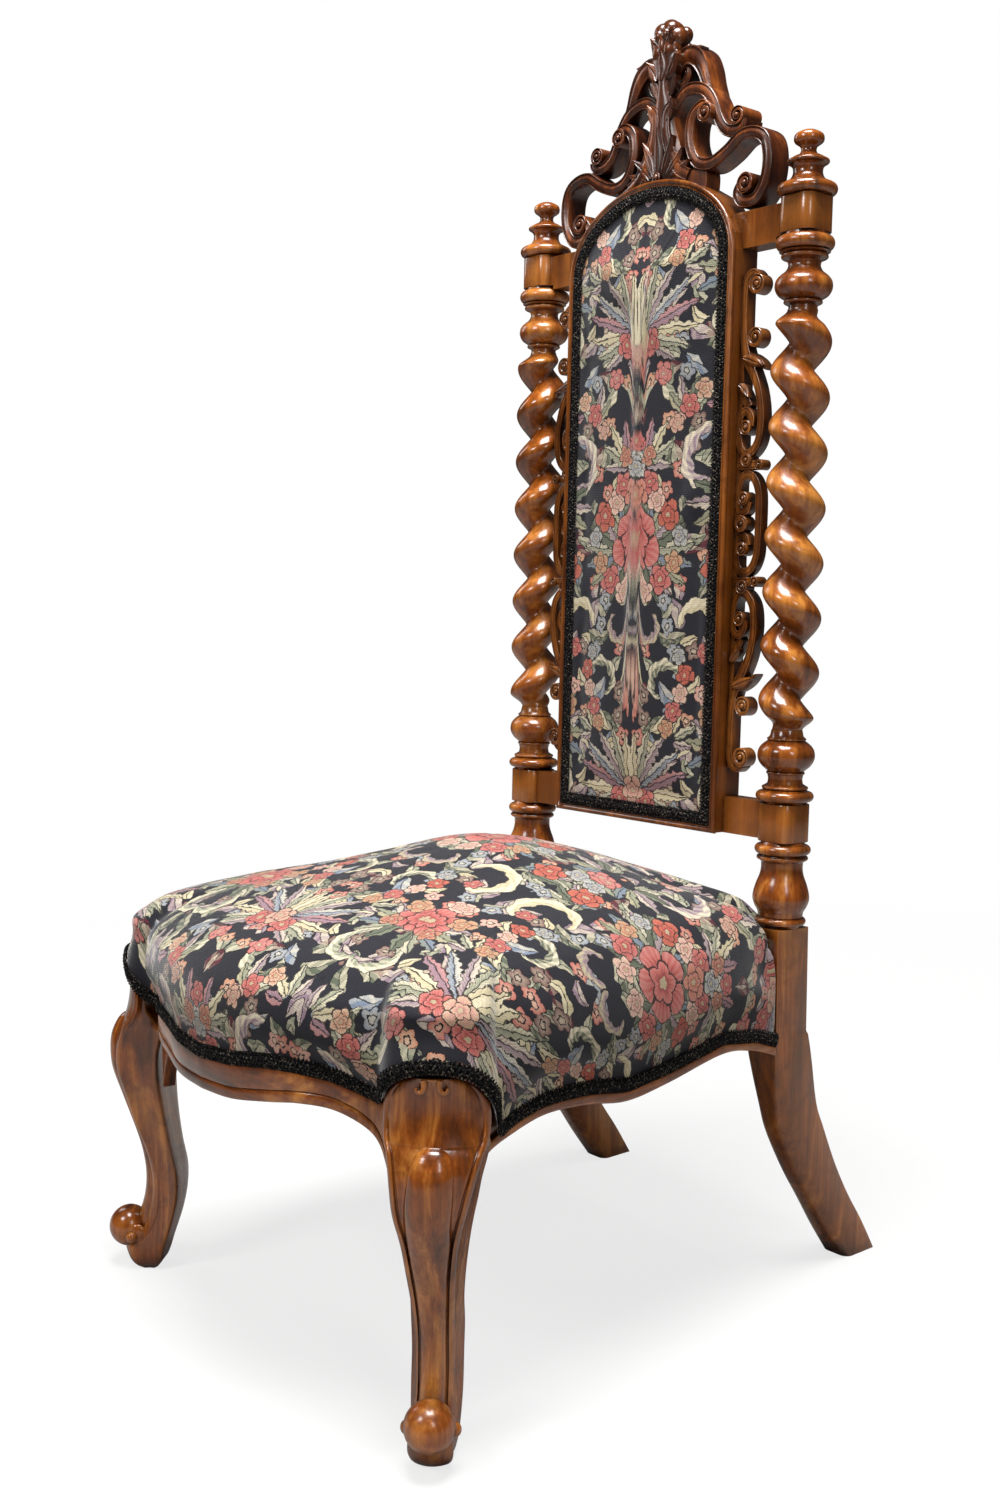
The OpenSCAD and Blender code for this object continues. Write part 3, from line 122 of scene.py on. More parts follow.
PANEL_HALF_W = 108.0
ARCH_SPRING = 925.0
ARCH_RISE = 76.0
EDGE_MOULD = 5.5
PANEL_FRONT = 22.0
PANEL_REBATE = 5.0
PANEL_CROWN = 9.0
PANEL_BOTTOM = LOWER_BLOCK + 0.03 * LOWER_BLOCK_H
RAIL_HALF_T = 10.0
CREST_BASE = ARCH_SPRING + ARCH_RISE
CREST_H = 152.0
CREST_HALF_W = 138.5
CREST_T = 24.0
CREST_STRAP = 11.2
FRET_MID = 684.0
FRET_HALF = 223.0
FRET_REACH = 31.0
FRET_STRAP = 7.8
FRET_T = 12.0


# ---------------------------------------------------------------- shapes
def ease(t):
    u = np.clip(t, 0.0, 1.0)
    return u * u * (3 - 2 * u)


def between(a, b, share):
    return a + (b - a) * share


def round_stops(count):
    return np.linspace(0, 2 * math.pi, count, endpoint=False)


def lookup(x, table):
    rows = np.array(table, float)
    return np.interp(x, rows[:, 0], rows[:, 1])


def smooth_rows(rows, steps):
    """Curve through a table of rows, with a number of steps for each stretch."""
    p = np.array(rows, float)
    out = []
    for i in range(len(p) - 1):
        a, b = p[max(i - 1, 0)], p[i]
        c, d = p[i + 1], p[min(i + 2, len(p) - 1)]
        for k in range(steps):
            t = k / steps
            out.append((2 * b + (c - a) * t + (2 * a - 5 * b + 4 * c - d) * t * t
                        + (3 * b - a - 3 * c + d) * t ** 3) / 2)
    out.append(p[-1])
    return np.array(out)


def unit_rows(rows):
    return rows / np.linalg.norm(rows, axis=1)[:, None]


def distance_along(line):
    return np.concatenate([[0], np.cumsum(np.linalg.norm(np.diff(line, axis=0), axis=1))])


def spread_evenly(run, by):
    """The same line with its stops at equal steps; the first columns of each row give its place."""
    way = distance_along(run[:, :by])
    even = np.linspace(0, way[-1], len(run))
    return np.column_stack([np.interp(even, way, column) for column in run.T])


def lean(points):
    """Leans points drawn upright on the post axes back by the rake, into the chair's plan."""
    p = np.array(points, float)
    z = p[..., 2] - LEG_TOP
    y = p[..., 1]
    out = p.copy()
    out[..., 1] = y * math.cos(RAKE) + z * math.sin(RAKE) + PLAN_SHIFT
    out[..., 2] = -y * math.sin(RAKE) + z * math.cos(RAKE) + LEG_TOP
    return out


def in_plan(points):
    return np.array(points, float) + np.array([0.0, PLAN_SHIFT, 0.0])


def mirrored(points):
    return np.array(points, float) * np.array([-1.0, 1.0, 1.0])


class Shell:
    """Vertices in millimetres and faces of one piece."""

    def __init__(self):
        self.points = []
        self.faces = []

    def add(self, points, faces):
        base = len(self.points)
        self.points.extend([tuple(p) for p in np.array(points, float)])
        self.faces.extend([tuple(base + i for i in f) for f in faces])

    def loft(self, rings, closed=True, caps=True):
        """Skin through rings of equal length."""
        rings = np.array(rings, float)
        count, sides = rings.shape[:2]
        faces = []
        for k in range(count - 1):
            for s in range(sides if closed else sides - 1):
                a, b = k * sides + s, k * sides + (s + 1) % sides
                faces.append((a, b, b + sides, a + sides))
        if caps and closed:
            faces.append(tuple(range(sides - 1, -1, -1)))
            faces.append(tuple(range((count - 1) * sides, count * sides)))
        self.add(rings.reshape(-1, 3), faces)

    def lid(self, sides):
        """Closes the last ring of the shell."""
        self.faces.append(tuple(range(len(self.points) - sides, len(self.points))))

    def lathe(self, outline, centre, sides=96):
        """Turned form about an upright axis; the outline holds radius and height."""
        angle = round_stops(sides)
        rings = [[(centre[0] + r * math.cos(a), centre[1] + r * math.sin(a), z) for a in angle]
                 for r, z in outline]
        self.loft(rings)

    def ball(self, centre, radii, turn=None, rings=20, sides=32):
        """Ellipsoid, drawn along its own axes and turned by a 3 by 3 matrix."""
        loops = []
        for i in range(1, rings):
            b = math.pi * i / rings
            loops.append([(math.sin(b) * math.cos(2 * math.pi * j / sides),
                           math.sin(b) * math.sin(2 * math.pi * j / sides), -math.cos(b))
                          for j in range(sides)])
        unit = np.array(loops) * np.array(radii)
        if turn is not None:
            unit = unit @ np.array(turn).T
        self.loft(unit + np.array(centre))

    def tube(self, path, radius, sides=8, closed=False):
        """Round cord along a path; the radius is one number or one for each point."""
        path = np.array(path, float)
        n = len(path)
        radius = np.broadcast_to(np.array(radius, float), (n,))
        if closed:
            way = np.roll(path, -1, 0) - np.roll(path, 1, 0)
        else:
            way = np.gradient(path, axis=0)
        way = unit_rows(way)
        up = np.array([0.0, 0.0, 1.0]) if abs(way[0][2]) < 0.9 else np.array([1.0, 0.0, 0.0])
        rings = []
        for i in range(n):
            side = np.cross(up, way[i])
            if np.linalg.norm(side) < 1e-6:
                side = np.array([1.0, 0.0, 0.0])
            side /= np.linalg.norm(side)
            up = np.cross(way[i], side)
            rings.append([path[i] + radius[i] * (math.cos(a) * side + math.sin(a) * up)
                          for a in round_stops(sides)])
        if closed:
            rings.append(rings[0])
            self.loft(rings, caps=False)
        else:
            self.loft(rings)

    def moved(self, change):
        """The same shell after a function of its points, with faces turned if it mirrors them."""
        out = Shell()
        out.points = [tuple(p) for p in change(np.array(self.points))]
        probe = change(np.array([[0, 0, 0], [1, 0, 0], [0, 1, 0], [0, 0, 1.0]]))
        flips = np.linalg.det(probe[1:] - probe[0]) < 0
        out.faces = [f[::-1] for f in self.faces] if flips else list(self.faces)
        return out

    def join(self, other):
        self.add(other.points, other.faces)
        return self


def make_piece(name, shell, finish, replaced, crease):
    """Blender object from a shell, which rides on the chair and stands for CAD nodes."""
    mesh = bpy.data.meshes.new(name)
    mesh.from_pydata([(x * MM, y * MM, z * MM) for x, y, z in shell.points], [], shell.faces)
    mesh.update()
    mesh.validate()
    mesh.polygons.foreach_set("use_smooth", [True] * len(mesh.polygons))
    mesh.set_sharp_from_angle(angle=math.radians(crease))
    piece = bpy.data.objects.new(name, mesh)
    bpy.context.scene.collection.objects.link(piece)
    mesh.materials.append(finish_for(finish))
    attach(piece, "root")
    if replaced:
        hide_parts(*replaced)
    return piece


def make_side(side, stem, shell, finish, node, crease):
    """One of a pair of walnut pieces; the shell is drawn for the right side."""
    shell = shell.moved(mirrored) if side == "left" else shell
    make_piece(stem + side, shell, finish, [node + side], crease)


# ---------------------------------------------------------------- finishes
class Finish:
    """Builds one node material; each method returns a socket."""

    def __init__(self, name, tree=None):
        self.material = None
        if tree is None:
            self.material = bpy.data.materials.new(name)
            self.material.use_nodes = True
            tree = self.material.node_tree
            tree.nodes.clear()
        self.tree = tree

    def node(self, kind, **settings):
        made = self.tree.nodes.new(kind)
        for key, value in settings.items():
            setattr(made, key, value)
        return made

    def put(self, socket, value):
        if isinstance(value, bpy.types.NodeSocket):
            self.tree.links.new(value, socket)
        elif value is not None:
            socket.default_value = value

    def math(self, operation, a, b=None, c=None):
        made = self.node("ShaderNodeMath", operation=operation)
        for socket, value in zip(made.inputs, (a, b, c)):
            self.put(socket, value)
        return made.outputs[0]

    times = partialmethod(math, "MULTIPLY")
    plus = partialmethod(math, "ADD")
    minus = partialmethod(math, "SUBTRACT")
    over = partialmethod(math, "DIVIDE")
    below = partialmethod(math, "LESS_THAN")
    above = partialmethod(math, "GREATER_THAN")
    sine = partialmethod(math, "SINE")
    cosine = partialmethod(math, "COSINE")
    bare = partialmethod(math, "ABSOLUTE")
    power = partialmethod(math, "POWER")
    most = partialmethod(math, "MAXIMUM")
    least = partialmethod(math, "MINIMUM")

    def vector(self, operation, a, b=None):
        made = self.node("ShaderNodeVectorMath", operation=operation)
        self.put(made.inputs[0], a)
        if b is not None:
            self.put(made.inputs[1], b)
        return made.outputs["Value"] if operation in ("LENGTH", "DOT_PRODUCT") else made.outputs[0]

    def split(self, vector):
        made = self.node("ShaderNodeSeparateXYZ")
        self.put(made.inputs[0], vector)
        return made.outputs

    def combine(self, x, y, z=0.0):
        made = self.node("ShaderNodeCombineXYZ")
        for socket, value in zip(made.inputs, (x, y, z)):
            self.put(socket, value)
        return made.outputs[0]

    def mix(self, share, a, b, blend="MIX"):
        made = self.node("ShaderNodeMix", data_type="RGBA", blend_type=blend)
        self.put(made.inputs["Factor"], share)
        self.put(made.inputs[6], a)
        self.put(made.inputs[7], b)
        return made.outputs[2]

    def ramp(self, value, stops):
        made = self.node("ShaderNodeValToRGB")
        points = made.color_ramp.elements
        while len(points) < len(stops):
            points.new(0.5)
        for point, (place, colour) in zip(points, stops):
            point.position = place
            point.color = colour
        self.put(made.inputs[0], value)
        return made.outputs[0]

    def noise(self, vector, scale, detail=3.0, rough=0.55, distortion=0.0):
        made = self.node("ShaderNodeTexNoise")
        self.put(made.inputs["Vector"], vector)
        for key, value in (("Scale", scale), ("Detail", detail), ("Roughness", rough),
                           ("Distortion", distortion)):
            made.inputs[key].default_value = value
        return made.outputs[0]

    def place(self, stretch=(1.0, 1.0, 1.0)):
        coord = self.node("ShaderNodeTexCoord")
        made = self.node("ShaderNodeMapping")
        self.put(made.inputs["Vector"], coord.outputs["Object"])
        made.inputs["Scale"].default_value = stretch
        return made.outputs[0]

    def bump(self, height, strength, distance):
        made = self.node("ShaderNodeBump")
        self.put(made.inputs["Height"], height)
        made.inputs["Strength"].default_value = strength
        made.inputs["Distance"].default_value = distance
        return made.outputs[0]

    def surface(self, colour, roughness, normal=None, **fixed):
        shader = self.node("ShaderNodeBsdfPrincipled")
        self.put(shader.inputs["Base Color"], colour)
        self.put(shader.inputs["Roughness"], roughness)
        if normal is not None:
            self.put(shader.inputs["Normal"], normal)
        for key, value in fixed.items():
            shader.inputs[key.replace("_", " ")].default_value = value
        out = self.node("ShaderNodeOutputMaterial")
        self.tree.links.new(shader.outputs[0], out.inputs["Surface"])
        return self.material


def colour(code, alpha=1.0):
    """Linear colour from a hex code."""
    values = [int(code[i:i + 2], 16) / 255 for i in (1, 3, 5)]
    linear = [v / 12.92 if v <= 0.04045 else ((v + 0.055) / 1.055) ** 2.4 for v in values]
    return (*linear, alpha)


GRAIN = {"upright": (1.0, 1.0, 0.06), "across": (0.06, 1.0, 1.0), "deep": (1.0, 0.06, 1.0)}


def walnut(name, grain, dark, middle, light, polish=0.25, coat=0.4):
    """Polished walnut: streaked figure, pores, mottled patina, painted shade in the recesses and wear."""
    f = Finish(name)
    place = f.place(GRAIN[grain])
    figure = f.noise(place, 42.0, 5.0, 0.6, 1.2)
    streak = f.noise(place, 210.0, 3.0, 0.6, 0.4)
    cloud = f.noise(f.place(), 9.0, 2.0, 0.5)
    tone = f.plus(f.times(figure, 0.62), f.times(streak, 0.2))
    tone = f.plus(tone, f.times(cloud, 0.28))
    body = f.ramp(tone, [(0.38, colour(dark)), (0.55, colour(middle)), (0.7, colour(light))])
    pores = f.noise(place, 900.0, 2.0, 0.6)
    pore = f.ramp(pores, [(0.3, (0.0, 0.0, 0.0, 1)), (0.42, (1, 1, 1, 1))])
    body = f.mix(0.3, body, f.mix(1.0, body, pore, "MULTIPLY"))
    stain = f.noise(f.place(), 38.0, 4.0, 0.65, 0.6)
    patina = f.ramp(stain, [(0.34, (0.5, 0.42, 0.36, 1)), (0.5, (1, 1, 1, 1)), (0.66, (1.25, 1.2, 1.1, 1))])
    body = f.mix(0.75, body, patina, "MULTIPLY")
    point = f.node("ShaderNodeNewGeometry").outputs["Pointiness"]
    worn = f.ramp(point, [(0.51, (0, 0, 0, 1)), (0.58, (1, 1, 1, 1))])
    body = f.mix(f.times(worn, 0.45), body, colour(light))
    # Painted shade: ambient occlusion darkens the colour in recesses, grooves and between parts
    shade = f.node("ShaderNodeAmbientOcclusion", samples=8)
    shade.inputs["Distance"].default_value = 0.022
    recess_shade = f.ramp(shade.outputs["AO"], [(0.3, (0.1, 0.055, 0.035, 1)), (0.92, (1, 1, 1, 1))])
    body = f.mix(0.9, body, recess_shade, "MULTIPLY")
    rough = f.plus(polish, f.times(f.minus(cloud, 0.5), 0.35))
    dents = f.noise(f.place(), 60.0, 2.0, 0.5)
    height = f.plus(f.times(pores, 0.12), dents)
    return f.surface(body, rough, f.bump(height, 0.2, 0.0014), Coat_Weight=coat,
                     Coat_Roughness=0.14, IOR=1.5)


def plain_wood(name):
    f = Finish(name)
    grain = f.noise(f.place((1.0, 0.1, 1.0)), 120.0, 4.0, 0.6, 0.8)
    body = f.ramp(grain, [(0.3, colour("#8d6538")), (0.7, colour("#c9a473"))])
    return f.surface(body, 0.7, f.bump(grain, 0.3, 0.0006))


def coarse_weave(name, dark, light, pitch):
    """Open plain weave: two crossing sets of threads."""
    f = Finish(name)
    x, y, z = f.split(f.place())
    rate = 2 * math.pi / pitch
    over = f.sine(f.times(f.plus(x, z), rate))
    under = f.sine(f.times(f.plus(y, z), rate))
    cloth = f.plus(f.times(f.times(over, under), 0.5), 0.5)
    fluff = f.noise(f.place(), 700.0, 3.0)
    tone = f.plus(f.times(cloth, 0.6), f.times(fluff, 0.5))
    body = f.ramp(tone, [(0.2, colour(dark)), (0.8, colour(light))])
    return f.surface(body, 0.9, f.bump(tone, 0.5, 0.0006), Sheen_Weight=0.2)


def wire_metal(name):
    f = Finish(name)
    rust = f.noise(f.place(), 160.0, 4.0, 0.6)
    body = f.ramp(rust, [(0.4, colour("#8d8f92")), (0.65, colour("#8a6a48"))])
    return f.surface(body, 0.38, f.bump(rust, 0.1, 0.0004), Metallic=0.9)


def braid_finish(name):
    """Black silk gimp with pale flecks painted where the threads catch the light: painted highlights."""
    f = Finish(name)
    place = f.place()
    twist = f.noise(place, 900.0, 3.0, 0.7)
    # Painted highlight: pale flecks scattered by noise stand in for glints on the silk threads
    glint_fleck = f.ramp(f.noise(place, 640.0, 2.0, 0.5), [(0.6, (0, 0, 0, 1)), (0.64, (1, 1, 1, 1))])
    body = f.ramp(twist, [(0.4, colour("#050506")), (0.75, colour("#16151a"))])
    body = f.mix(f.times(glint_fleck, 0.65), body, colour("#8d8172"))
    return f.surface(body, 0.7, f.bump(twist, 0.8, 0.001), Specular_IOR_Level=0.15)


TONES = {
    "line": "#1a1518", "coral": "#ab4c45", "rose": "#c0877e", "orange": "#b27156",
    "cream": "#d6cbb0", "straw": "#b5a987", "sage": "#80836f", "moss": "#555b4b",
    "mauve": "#85707b", "slate": "#707b8b", "wine": "#57262f",
}


def motif_group(name, build):
    """Node group of one woven motif, drawn over the colour below it."""
    tree = bpy.data.node_groups.new(name, "ShaderNodeTree")
    sides = (("Point", "NodeSocketVector"), ("Centre", "NodeSocketVector"), ("A", "NodeSocketFloat"),
             ("B", "NodeSocketFloat"), ("C", "NodeSocketFloat"), ("D", "NodeSocketFloat"),
             ("Under", "NodeSocketColor"), ("Rim", "NodeSocketColor"), ("Heart", "NodeSocketColor"))
    for label, kind in sides:
        tree.interface.new_socket(label, in_out="INPUT", socket_type=kind)
    tree.interface.new_socket("Over", in_out="OUTPUT", socket_type="NodeSocketColor")
    tree.interface.new_socket("Next", in_out="OUTPUT", socket_type="NodeSocketVector")
    f = Finish(name, tree)
    given = f.node("NodeGroupInput").outputs
    result = f.node("NodeGroupOutput").inputs
    over = build(f, given)
    f.put(result["Over"], over)
    # The next motif reads its point from this one, so the motifs are worked out one by one
    held = f.node("ShaderNodeVectorMath", operation="MULTIPLY_ADD")
    f.put(held.inputs[0], over)
    held.inputs[1].default_value = (1e-7, 1e-7, 1e-7)
    f.put(held.inputs[2], given["Point"])
    f.put(result["Next"], held.outputs[0])
    return tree


def line_colour():
    return colour(TONES["line"])


def build_flower(f, given):
    """A radius, B petals, C turn: two rounds of streaked petals about a heart."""
    away = f.vector("SUBTRACT", given["Point"], given["Centre"])
    x, y, _ = f.split(away)
    reach = f.vector("LENGTH", away)
    angle = f.plus(f.math("ARCTAN2", y, x), given["C"])
    wedge = f.times(f.times(angle, given["B"]), 0.5)
    lobe = f.bare(f.cosine(wedge))
    second = f.bare(f.sine(wedge))
    edge = f.times(given["A"], f.plus(0.7, f.times(f.power(lobe, 0.6), 0.3)))
    share = f.over(reach, edge)
    inside = f.below(share, 1.0)
    near = f.over(reach, f.times(given["A"], f.plus(0.4, f.times(second, 0.2))))
    front = f.below(near, 1.0)
    place = f.plus(f.times(front, near), f.times(f.minus(1.0, front), share))
    streak = f.sine(f.times(angle, 27.0))
    pale = f.times(f.plus(f.times(streak, 0.5), f.times(place, 2.4)), 0.42)
    tone = f.mix(f.times(place, 1.5), colour(TONES["wine"]), given["Rim"])
    tone = f.mix(f.minus(pale, 0.35), tone, given["Heart"])
    seam = f.below(f.times(lobe, share), 0.13)
    seam = f.times(seam, f.minus(1.0, front))
    outline = f.above(share, f.minus(1.0, f.over(1.15, edge)))
    inner = f.above(f.times(near, front), 0.88)
    line = f.most(f.most(seam, outline), inner)
    tone = f.mix(f.times(line, 0.92), tone, line_colour())
    core = f.below(near, 0.3)
    tone = f.mix(f.times(core, 0.8), tone, colour(TONES["straw"]))
    return f.mix(inside, given["Under"], tone)


def build_leaf(f, given):
    """A length, B half width, C direction, D bend: pointed leaf, hatched along its length."""
    away = f.vector("SUBTRACT", given["Point"], given["Centre"])
    x, y, _ = f.split(away)
    cosine, sine = f.cosine(given["C"]), f.sine(given["C"])
    along = f.plus(f.times(x, cosine), f.times(y, sine))
    across = f.minus(f.times(y, cosine), f.times(x, sine))
    k = f.over(along, given["A"])
    across = f.minus(across, f.times(given["D"], f.times(k, k)))
    inside = f.times(f.above(k, 0.0), f.below(k, 1.0))
    kk = f.least(f.most(k, 0.001), 0.999)
    width = f.times(f.power(kk, 0.5), f.power(f.minus(1.0, kk), 0.7))
    notch = f.plus(1.0, f.times(f.sine(f.times(along, 0.75)), 0.16))
    width = f.times(f.times(width, 2.0), f.times(given["B"], notch))
    spread = f.bare(across)
    inside = f.times(inside, f.below(spread, width))
    share = f.over(spread, f.most(width, 0.2))
    ribs = f.sine(f.times(f.minus(along, f.times(spread, 1.6)), 1.5))
    lit = f.plus(f.times(f.above(across, 0.0), 0.4), f.times(ribs, 0.22))
    lit = f.plus(lit, f.times(share, 0.35))
    tone = f.mix(lit, given["Rim"], given["Heart"])
    outline = f.above(spread, f.minus(width, 1.0))
    vein = f.below(spread, 0.5)
    tone = f.mix(f.times(f.most(vein, outline), 0.92), tone, line_colour())
    return f.mix(inside, given["Under"], tone)


def build_scroll(f, given):
    """A radius, B half width, C start, D sweep: curled strap that thins to its tips."""
    away = f.vector("SUBTRACT", given["Point"], given["Centre"])
    x, y, _ = f.split(away)
    reach = f.vector("LENGTH", away)
    turn = f.over(f.minus(f.math("ARCTAN2", y, x), given["C"]), 2 * math.pi)
    k = f.over(f.times(f.math("FRACT", turn), 2 * math.pi), given["D"])
    inside = f.below(k, 1.0)
    kk = f.least(k, 1.0)
    line = f.times(given["A"], f.minus(1.0, f.times(kk, 0.45)))
    swell = f.power(f.sine(f.times(f.power(kk, 0.7), math.pi)), 0.6)
    teeth = f.plus(1.0, f.times(f.sine(f.times(kk, 30.0)), 0.22))
    width = f.times(f.times(swell, teeth), given["B"])
    offset = f.minus(reach, line)
    spread = f.bare(offset)
    inside = f.times(inside, f.below(spread, width))
    ribs = f.sine(f.plus(f.times(kk, 60.0), f.times(offset, 0.9)))
    lit = f.plus(f.times(f.above(offset, 0.0), 0.5), f.plus(f.times(ribs, 0.25), 0.2))
    tone = f.mix(lit, given["Rim"], given["Heart"])
    outline = f.above(spread, f.minus(width, 0.8))
    tone = f.mix(f.times(outline, 0.92), tone, line_colour())
    return f.mix(inside, given["Under"], tone)


# Repeat of the woven design, how far its lines wander and the steps that it is woven in, in
# millimetres, and shares that thin its scrolls and leaves
REPEAT_H = 430.0
REPEAT_W = 122.0
WANDER = 7.0
PICK_W = 0.55
PICK_H = 0.75
SCROLL_THIN = 0.72
LEAF_SHORT = 0.84
LEAF_SLIM = 0.68


def fan(x, y, count, start, stop, length, half, bend, tones):
    """Spray of leaves from one point, longest in its middle."""
    rows = []
    for i in range(count):
        k = i / max(count - 1, 1)
        reach = length * (0.72 + 0.28 * math.sin(math.pi * k))
        rim, heart = tones[i % len(tones)]
        turn = start + (stop - start) * k
        rows.append(("leaf", x + 5 * math.cos(turn), y + 5 * math.sin(turn), LEAF_SHORT * reach,
                     LEAF_SLIM * half, turn, bend * (1 - 2 * k), rim, heart))
    return rows


GREENS = (("sage", "cream"), ("moss", "sage"), ("mauve", "cream"), ("sage", "straw"), ("slate", "sage"))
PALES = (("mauve", "cream"), ("sage", "cream"), ("straw", "cream"), ("mauve", "rose"), ("slate", "cream"))
# Blossoms: place, radius, petals, turn, rim and heart tones
FLOWERS = [
    (118, 76, 26, 7, 0.3, "coral", "rose"), (94, 90, 13, 5, 0.9, "orange", "straw"),
    (118, 112, 12, 5, 0.1, "rose", "cream"), (98, 58, 11, 5, 0.4, "coral", "straw"),
    (98, 224, 17, 5, 0.5, "coral", "orange"), (112, 246, 13, 5, 1.1, "slate", "cream"),
    (118, 268, 14, 5, 0.2, "rose", "coral"), (54, 92, 11, 5, 0.2, "coral", "rose"),
    (62, 109, 10, 5, 0.9, "rose", "cream"), (67, 127, 11, 5, 1.5, "coral", "orange"),
    (60, 143, 9, 5, 0.4, "slate", "cream"), (47, 76, 10, 5, 0.6, "orange", "straw"),
    (64, 372, 12, 5, 0.3, "coral", "rose"), (80, 386, 11, 5, 1.0, "orange", "cream"),
    (50, 356, 10, 5, 0.8, "rose", "straw"), (34, 214, 15, 5, 0.4, "coral", "rose"),
    (50, 230, 12, 5, 1.0, "orange", "straw"), (14, 202, 13, 5, 0.7, "rose", "cream"),
    (44, 274, 16, 5, 0.2, "coral", "orange"), (58, 254, 11, 5, 0.9, "slate", "cream"),
    (27, 288, 13, 5, 1.3, "rose", "cream"), (0, 246, 34, 5, 1.5708, "coral", "rose"),
    (17, 304, 13, 5, 0.5, "coral", "rose"), (0, 292, 17, 5, 1.5708, "orange", "rose"),
    (0, 320, 13, 5, -1.5708, "slate", "cream"), (15, 330, 11, 5, 0.2, "coral", "straw"),
    (0, 346, 11, 5, 1.5708, "coral", "rose"), (18, 4, 14, 5, 0.4, "coral", "rose"),
    (0, 14, 15, 5, 1.5708, "rose", "straw"), (88, 148, 10, 5, 0.4, "coral", "rose"),
    (32, 404, 12, 5, 0.4, "rose", "coral")]
# One half of the mirrored repeat: motif, place, its four numbers, rim and heart tones. Later rows
# lie over earlier ones
DESIGN = [
    ("scroll", 78, 168, 33, 10, -1.2, 4.4, "straw", "cream"),
    ("scroll", 88, 322, 30, 10, 1.4, 4.3, "mauve", "cream"),
    ("scroll", 58, 398, 26, 9, 2.6, 4.1, "sage", "cream"),
    ("scroll", 42, 116, 22, 8, 0.4, 4.2, "moss", "cream"),
    ("scroll", 20, 172, 18, 7, 3.3, 4.2, "mauve", "straw"),
    ("scroll", 112, 14, 24, 8, 2.0, 4.2, "sage", "cream"),
    *fan(4, 14, 8, -0.7, 1.62, 84, 10, 6, PALES),
    *fan(86, 204, 5, -0.3, 1.7, 48, 10, 7, GREENS),
    *fan(108, 284, 5, 1.9, 4.4, 46, 10, 7, GREENS),
    *fan(14, 240, 10, -1.7, 1.6, 68, 12, 10, GREENS),
    *fan(8, 318, 5, 0.2, 1.65, 56, 10, -6, PALES),
    *fan(114, 60, 7, 1.5, 4.6, 52, 11, 7, GREENS),
    *fan(60, 366, 4, 0.3, 2.6, 38, 9, 6, GREENS),
    *fan(52, 66, 4, -0.4, 2.0, 34, 8, 5, PALES),
    *fan(110, 374, 4, 1.2, 3.4, 38, 9, 6, PALES),
    *[("flower", *row[:5], 0, *row[5:]) for row in FLOWERS],
]


def scatter(f, point, under, pitch, share, leafy, tones, seed):
    """Small leaves or blossoms strewn over the ground, each turned and coloured by chance."""
    cells = f.node("ShaderNodeTexVoronoi", voronoi_dimensions="2D", feature="F1")
    moved = f.vector("ADD", point, (seed, 2 * seed, 0.0))
    f.put(cells.inputs["Vector"], moved)
    cells.inputs["Scale"].default_value = 1 / pitch
    parted = f.node("ShaderNodeSeparateColor")
    f.put(parted.inputs[0], cells.outputs["Color"])
    red, green, blue = parted.outputs[:3]
    x, y, _ = f.split(f.vector("SUBTRACT", moved, cells.outputs["Position"]))
    turn = f.times(red, 6.28)
    cosine, sine = f.cosine(turn), f.sine(turn)
    along = f.plus(f.times(x, cosine), f.times(y, sine))
    across = f.minus(f.times(y, cosine), f.times(x, sine))
    if leafy:
        across = f.minus(across, f.times(f.times(along, along), 0.6 / pitch))
        k = f.over(along, 0.72 * pitch)
        room = f.minus(1.0, f.times(k, k))
        spread = f.bare(across)
        edge = f.times(room, 0.3 * pitch)
        rib = f.sine(f.times(f.minus(along, spread), 7.0 / pitch * 2))
        lit = f.plus(f.times(f.above(across, 0.0), 0.6), f.times(f.above(rib, 0.2), 0.4))
        line = f.most(f.above(spread, f.minus(edge, 0.9)), f.below(spread, 0.45))
    else:
        spread = f.math("SQRT", f.plus(f.times(x, x), f.times(y, y)))
        angle = f.plus(f.math("ARCTAN2", y, x), turn)
        lobe = f.bare(f.cosine(f.times(angle, 2.5)))
        edge = f.times(f.plus(0.68, f.times(lobe, 0.32)), 0.46 * pitch)
        near = f.over(spread, edge)
        lit = f.minus(1.1, near)
        line = f.most(f.above(spread, f.minus(edge, 0.9)), f.below(f.bare(f.minus(near, 0.34)), 0.07))
    inside = f.times(f.below(spread, edge), f.below(green, share))
    body = f.ramp(blue, [(i / len(tones), colour(TONES[tone])) for i, tone in enumerate(tones)])
    for node in f.tree.nodes:
        if node.type == "VALTORGB":
            node.color_ramp.interpolation = "CONSTANT"
    tone = f.mix(f.times(lit, 0.55), body, colour(TONES["cream"]))
    tone = f.mix(line, tone, line_colour())
    return f.mix(inside, under, tone)


